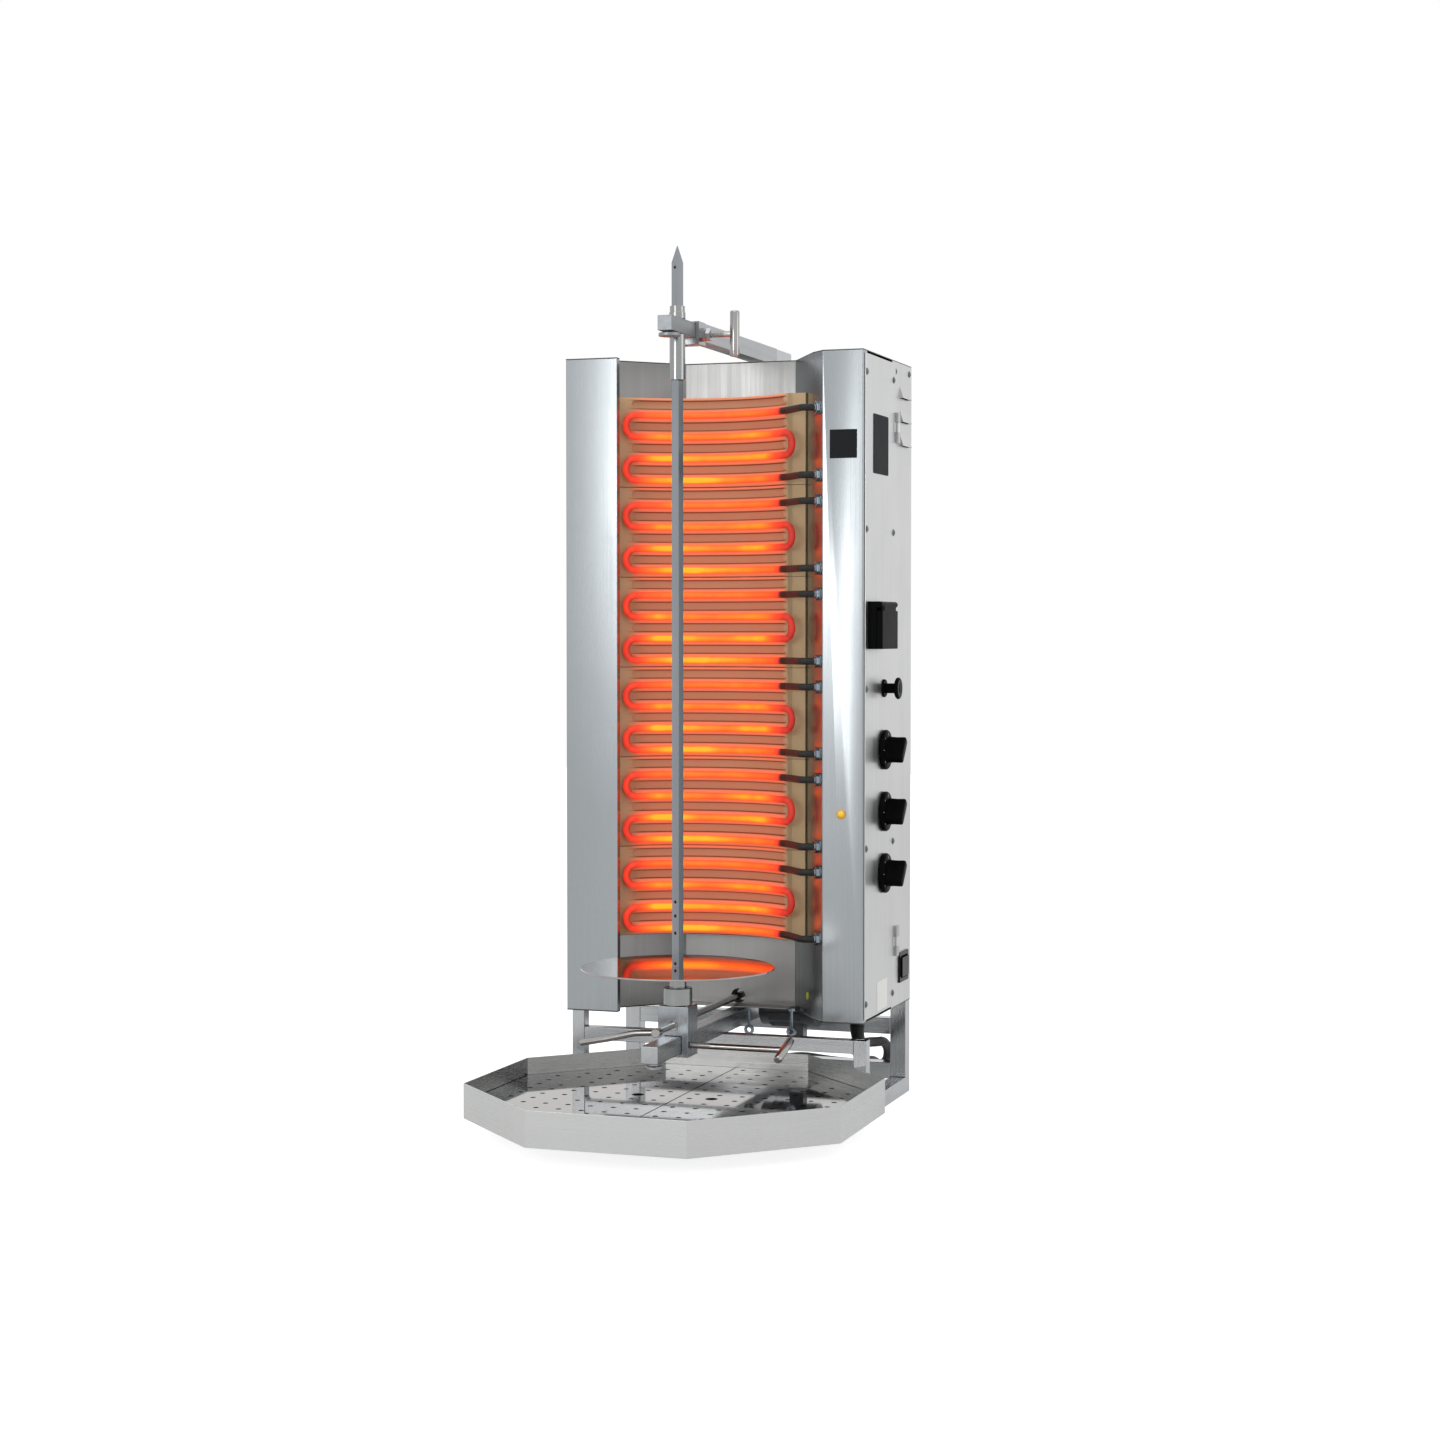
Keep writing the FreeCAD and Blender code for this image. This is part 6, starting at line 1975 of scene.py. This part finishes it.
@dataclass
class SmallControls:
    """The rocker switch in its bezel, the indicator lamp and the cable gland."""

    lamp_x: float = 0.201
    lamp_z: float = 0.454
    gland_foot: tuple[float, float, float] = (0.203, 0.121, 0.145)
    gland_flat: float = 0.012

    def build(self) -> None:
        """Make the three fittings."""
        settle(copied("switch_bezel", SWITCH, 0.0008, 2), "frame", "switch_plastic")
        settle(copied("rocker_switch", SWITCH, 0.0014, 3), "rocker", "switch_plastic")
        self.lamp()
        self.gland()

    def lamp(self) -> None:
        """A domed lens in an amber ring."""
        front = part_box("left_wing")[0].y
        form = Form("lamp_fitting", LENS, AMBER, BLACK)
        foot, way = Vector((self.lamp_x, front, self.lamp_z)), -Axis.Y.vector
        lens = [
            (-0.014, 0.0048), (0.001, 0.005), (0.003, 0.0048), (0.0042, 0.0038), (0.0049, 0.0022),
            (0.0051, 0.0008),
        ]
        form.turned(foot, way, [(0.0, 0.0071), (0.0014, 0.0071), (0.0022, 0.0064), (0.0024, 0.005)], 48, 1)
        form.turned(foot, way, lens, 48, 0)
        form.turned(foot + Vector((0, 0.0015, 0)), -way, [(0.0, 0.007), (0.003, 0.007)], 24, 2)
        settle(form.made(50), "frame", "lamp_lens", "indicator_lamp")

    def gland(self) -> None:
        """The moulded gland: a ribbed dome nut under the plate and a lock nut over it."""
        form = Form("gland_fitting", GLAND)
        foot, down, corner = Vector(self.gland_foot), -Axis.Z.vector, hex_corner(self.gland_flat)
        dome = [
            (0.0036, 0.0118), (0.0045, 0.0122), (0.0098, 0.012), (0.0128, 0.0112), (0.0155, 0.0102),
            (0.016, 0.0096),
        ]
        form.turned(foot, down, [(0.0, corner), (0.0028, corner), (0.0036, corner * 0.94)], 6)
        form.turned(foot, down, dome, 24)
        form.turned(foot, -down, [(0.0, 0.0099), (0.008, 0.0099)], 32)
        form.turned(foot - down * 0.0015, -down, [(0.0, corner), (0.0042, corner), (0.005, corner * 0.94)], 6)
        settle(bevelled(form.made(25), 0.0003), "frame", "gland_plastic", "cord_gland")


# ---- floor, light and camera ----


@dataclass(frozen=True)
class Lamp:
    """A soft rectangular lamp."""

    name: str
    place: Point
    aim: Point
    size: tuple[float, float]
    power: float


@dataclass
class Studio:
    """A pale floor, soft lamps and the camera."""

    eye: tuple[float, float, float] = (1.2373, -3.586, 0.7238)
    aim: tuple[float, float, float] = (0.0643, -0.1135, 0.6005)
    lens: float = 64.14
    drop: float = -0.002
    sky: float = 0.78
    ground: float = 9.0
    lamps: tuple[Lamp, ...] = (
        Lamp("front_box", (-0.9, -3.3, 1.18), (0.1, 0.0, 0.75), (1.2, 0.85), 15.0),
        Lamp("top_box", (0.2, -0.9, 3.0), (0.0, 0.0, 0.5), (2.2, 2.0), 16.0),
        Lamp("right_box", (2.9, 0.2, 1.3), (0.2, 0.1, 0.6), (1.2, 1.6), 8.0),
    )

    def aimed(self, name: str, data: bpy.types.ID, place: Point, aim: Point) -> bpy.types.Object:
        """Stand a camera or a lamp at its place and aim it.

        Args:
            name: what it is called.
            data: the camera or the lamp.
            place: where it stands.
            aim: the point that it looks at.

        Returns:
            The new object.
        """
        made = linked(name, data)
        made.location = place
        made.rotation_euler = (Vector(aim) - Vector(place)).to_track_quat("-Z", "Y").to_euler()
        return made

    def camera(self) -> None:
        """Stand the camera where the whole object is in view."""
        data = bpy.data.cameras.new("view")
        data.lens, data.sensor_width, data.shift_y = self.lens, 36.0, self.drop
        data.clip_end = 60.0
        bpy.context.scene.camera = self.aimed("view", data, self.eye, self.aim)

    def build(self) -> None:
        """Lay the floor, light the sky and hang the lamps."""
        self.floor()
        self.world()
        for lamp in self.lamps:
            data = bpy.data.lights.new(lamp.name, "AREA")
            data.shape, (data.size, data.size_y), data.energy = "RECTANGLE", lamp.size, lamp.power
            self.aimed(lamp.name, data, lamp.place, lamp.aim)
        bpy.context.scene.view_settings.view_transform = "Standard"

    def seen(self, graph: Graph, looked: float = 1.0, mirrored: float = 1.0) -> bpy.types.NodeSocket:
        """A strength for rays from the camera or a glass, and one for rays from a mirror.

        Args:
            graph: the node tree.
            looked: the strength when it is looked at.
            mirrored: the strength in a mirror.

        Returns:
            The strength for the ray at hand.
        """
        path = graph.add("ShaderNodeLightPath").outputs
        either = graph.sums("MAXIMUM", path["Is Camera Ray"], path["Is Transmission Ray"])
        straight = graph.sums("MULTIPLY", either, looked)
        return graph.sums("MAXIMUM", straight, graph.sums("MULTIPLY", path["Is Glossy Ray"], mirrored))

    def world(self) -> None:
        """A plain sky: white to look at, softer as a light."""
        made = bpy.data.worlds.new("studio_sky")
        made.use_nodes = True
        graph = Graph(made.node_tree)
        strength = graph.spread(self.seen(graph), self.sky, 1.0, 0.0, 1.0)
        back = graph.add("ShaderNodeBackground", {"Color": (1.0, 1.0, 1.0, 1.0), "Strength": strength})
        graph.add("ShaderNodeOutputWorld", {0: back.outputs[0]})
        bpy.context.scene.world = made

    def floor(self) -> None:
        """A wide pale floor that keeps the shadow."""
        mesh = bpy.data.meshes.new("floor")
        half = self.ground
        mesh.from_pydata(
            [(-half, -half, 0), (half, -half, 0), (half, half, 0), (-half, half, 0)], [], [(0, 1, 2, 3)]
        )
        coat = bpy.data.materials.new("pale_floor")
        coat.use_nodes = True
        graph = Graph(coat.node_tree)
        shader = graph.add("ShaderNodeBsdfPrincipled", {
            "Base Color": (0.62, 0.62, 0.62, 1.0),
            "Roughness": 0.7,
            "Specular IOR Level": 0.1,
            "Emission Color": (1.0, 1.0, 1.0, 1.0),
            "Emission Strength": self.seen(graph, 0.78, 0.3),
        })
        graph.add("ShaderNodeOutputMaterial", {"Surface": shader.outputs[0]})
        mesh.materials.append(coat)
        linked("floor", mesh)


def main() -> None:
    """Build the scene: camera and lead first, then each sub-assembly."""
    logging.basicConfig(level=logging.INFO, format="%(name)s: %(message)s")
    studio = Studio()
    studio.camera()
    MainsLead().build()
    parts = (
        TubeFrame(), Casing(), Screws(), HeatedWall(), SkewerDrive(), UpperBearing(), DripTray(),
        ServiceDoor(), SmallControls(),
    )
    for part in parts:
        part.build()
        LOG.info("%s done", type(part).__name__)
    studio.build()


if __name__ == "__main__":
    main()
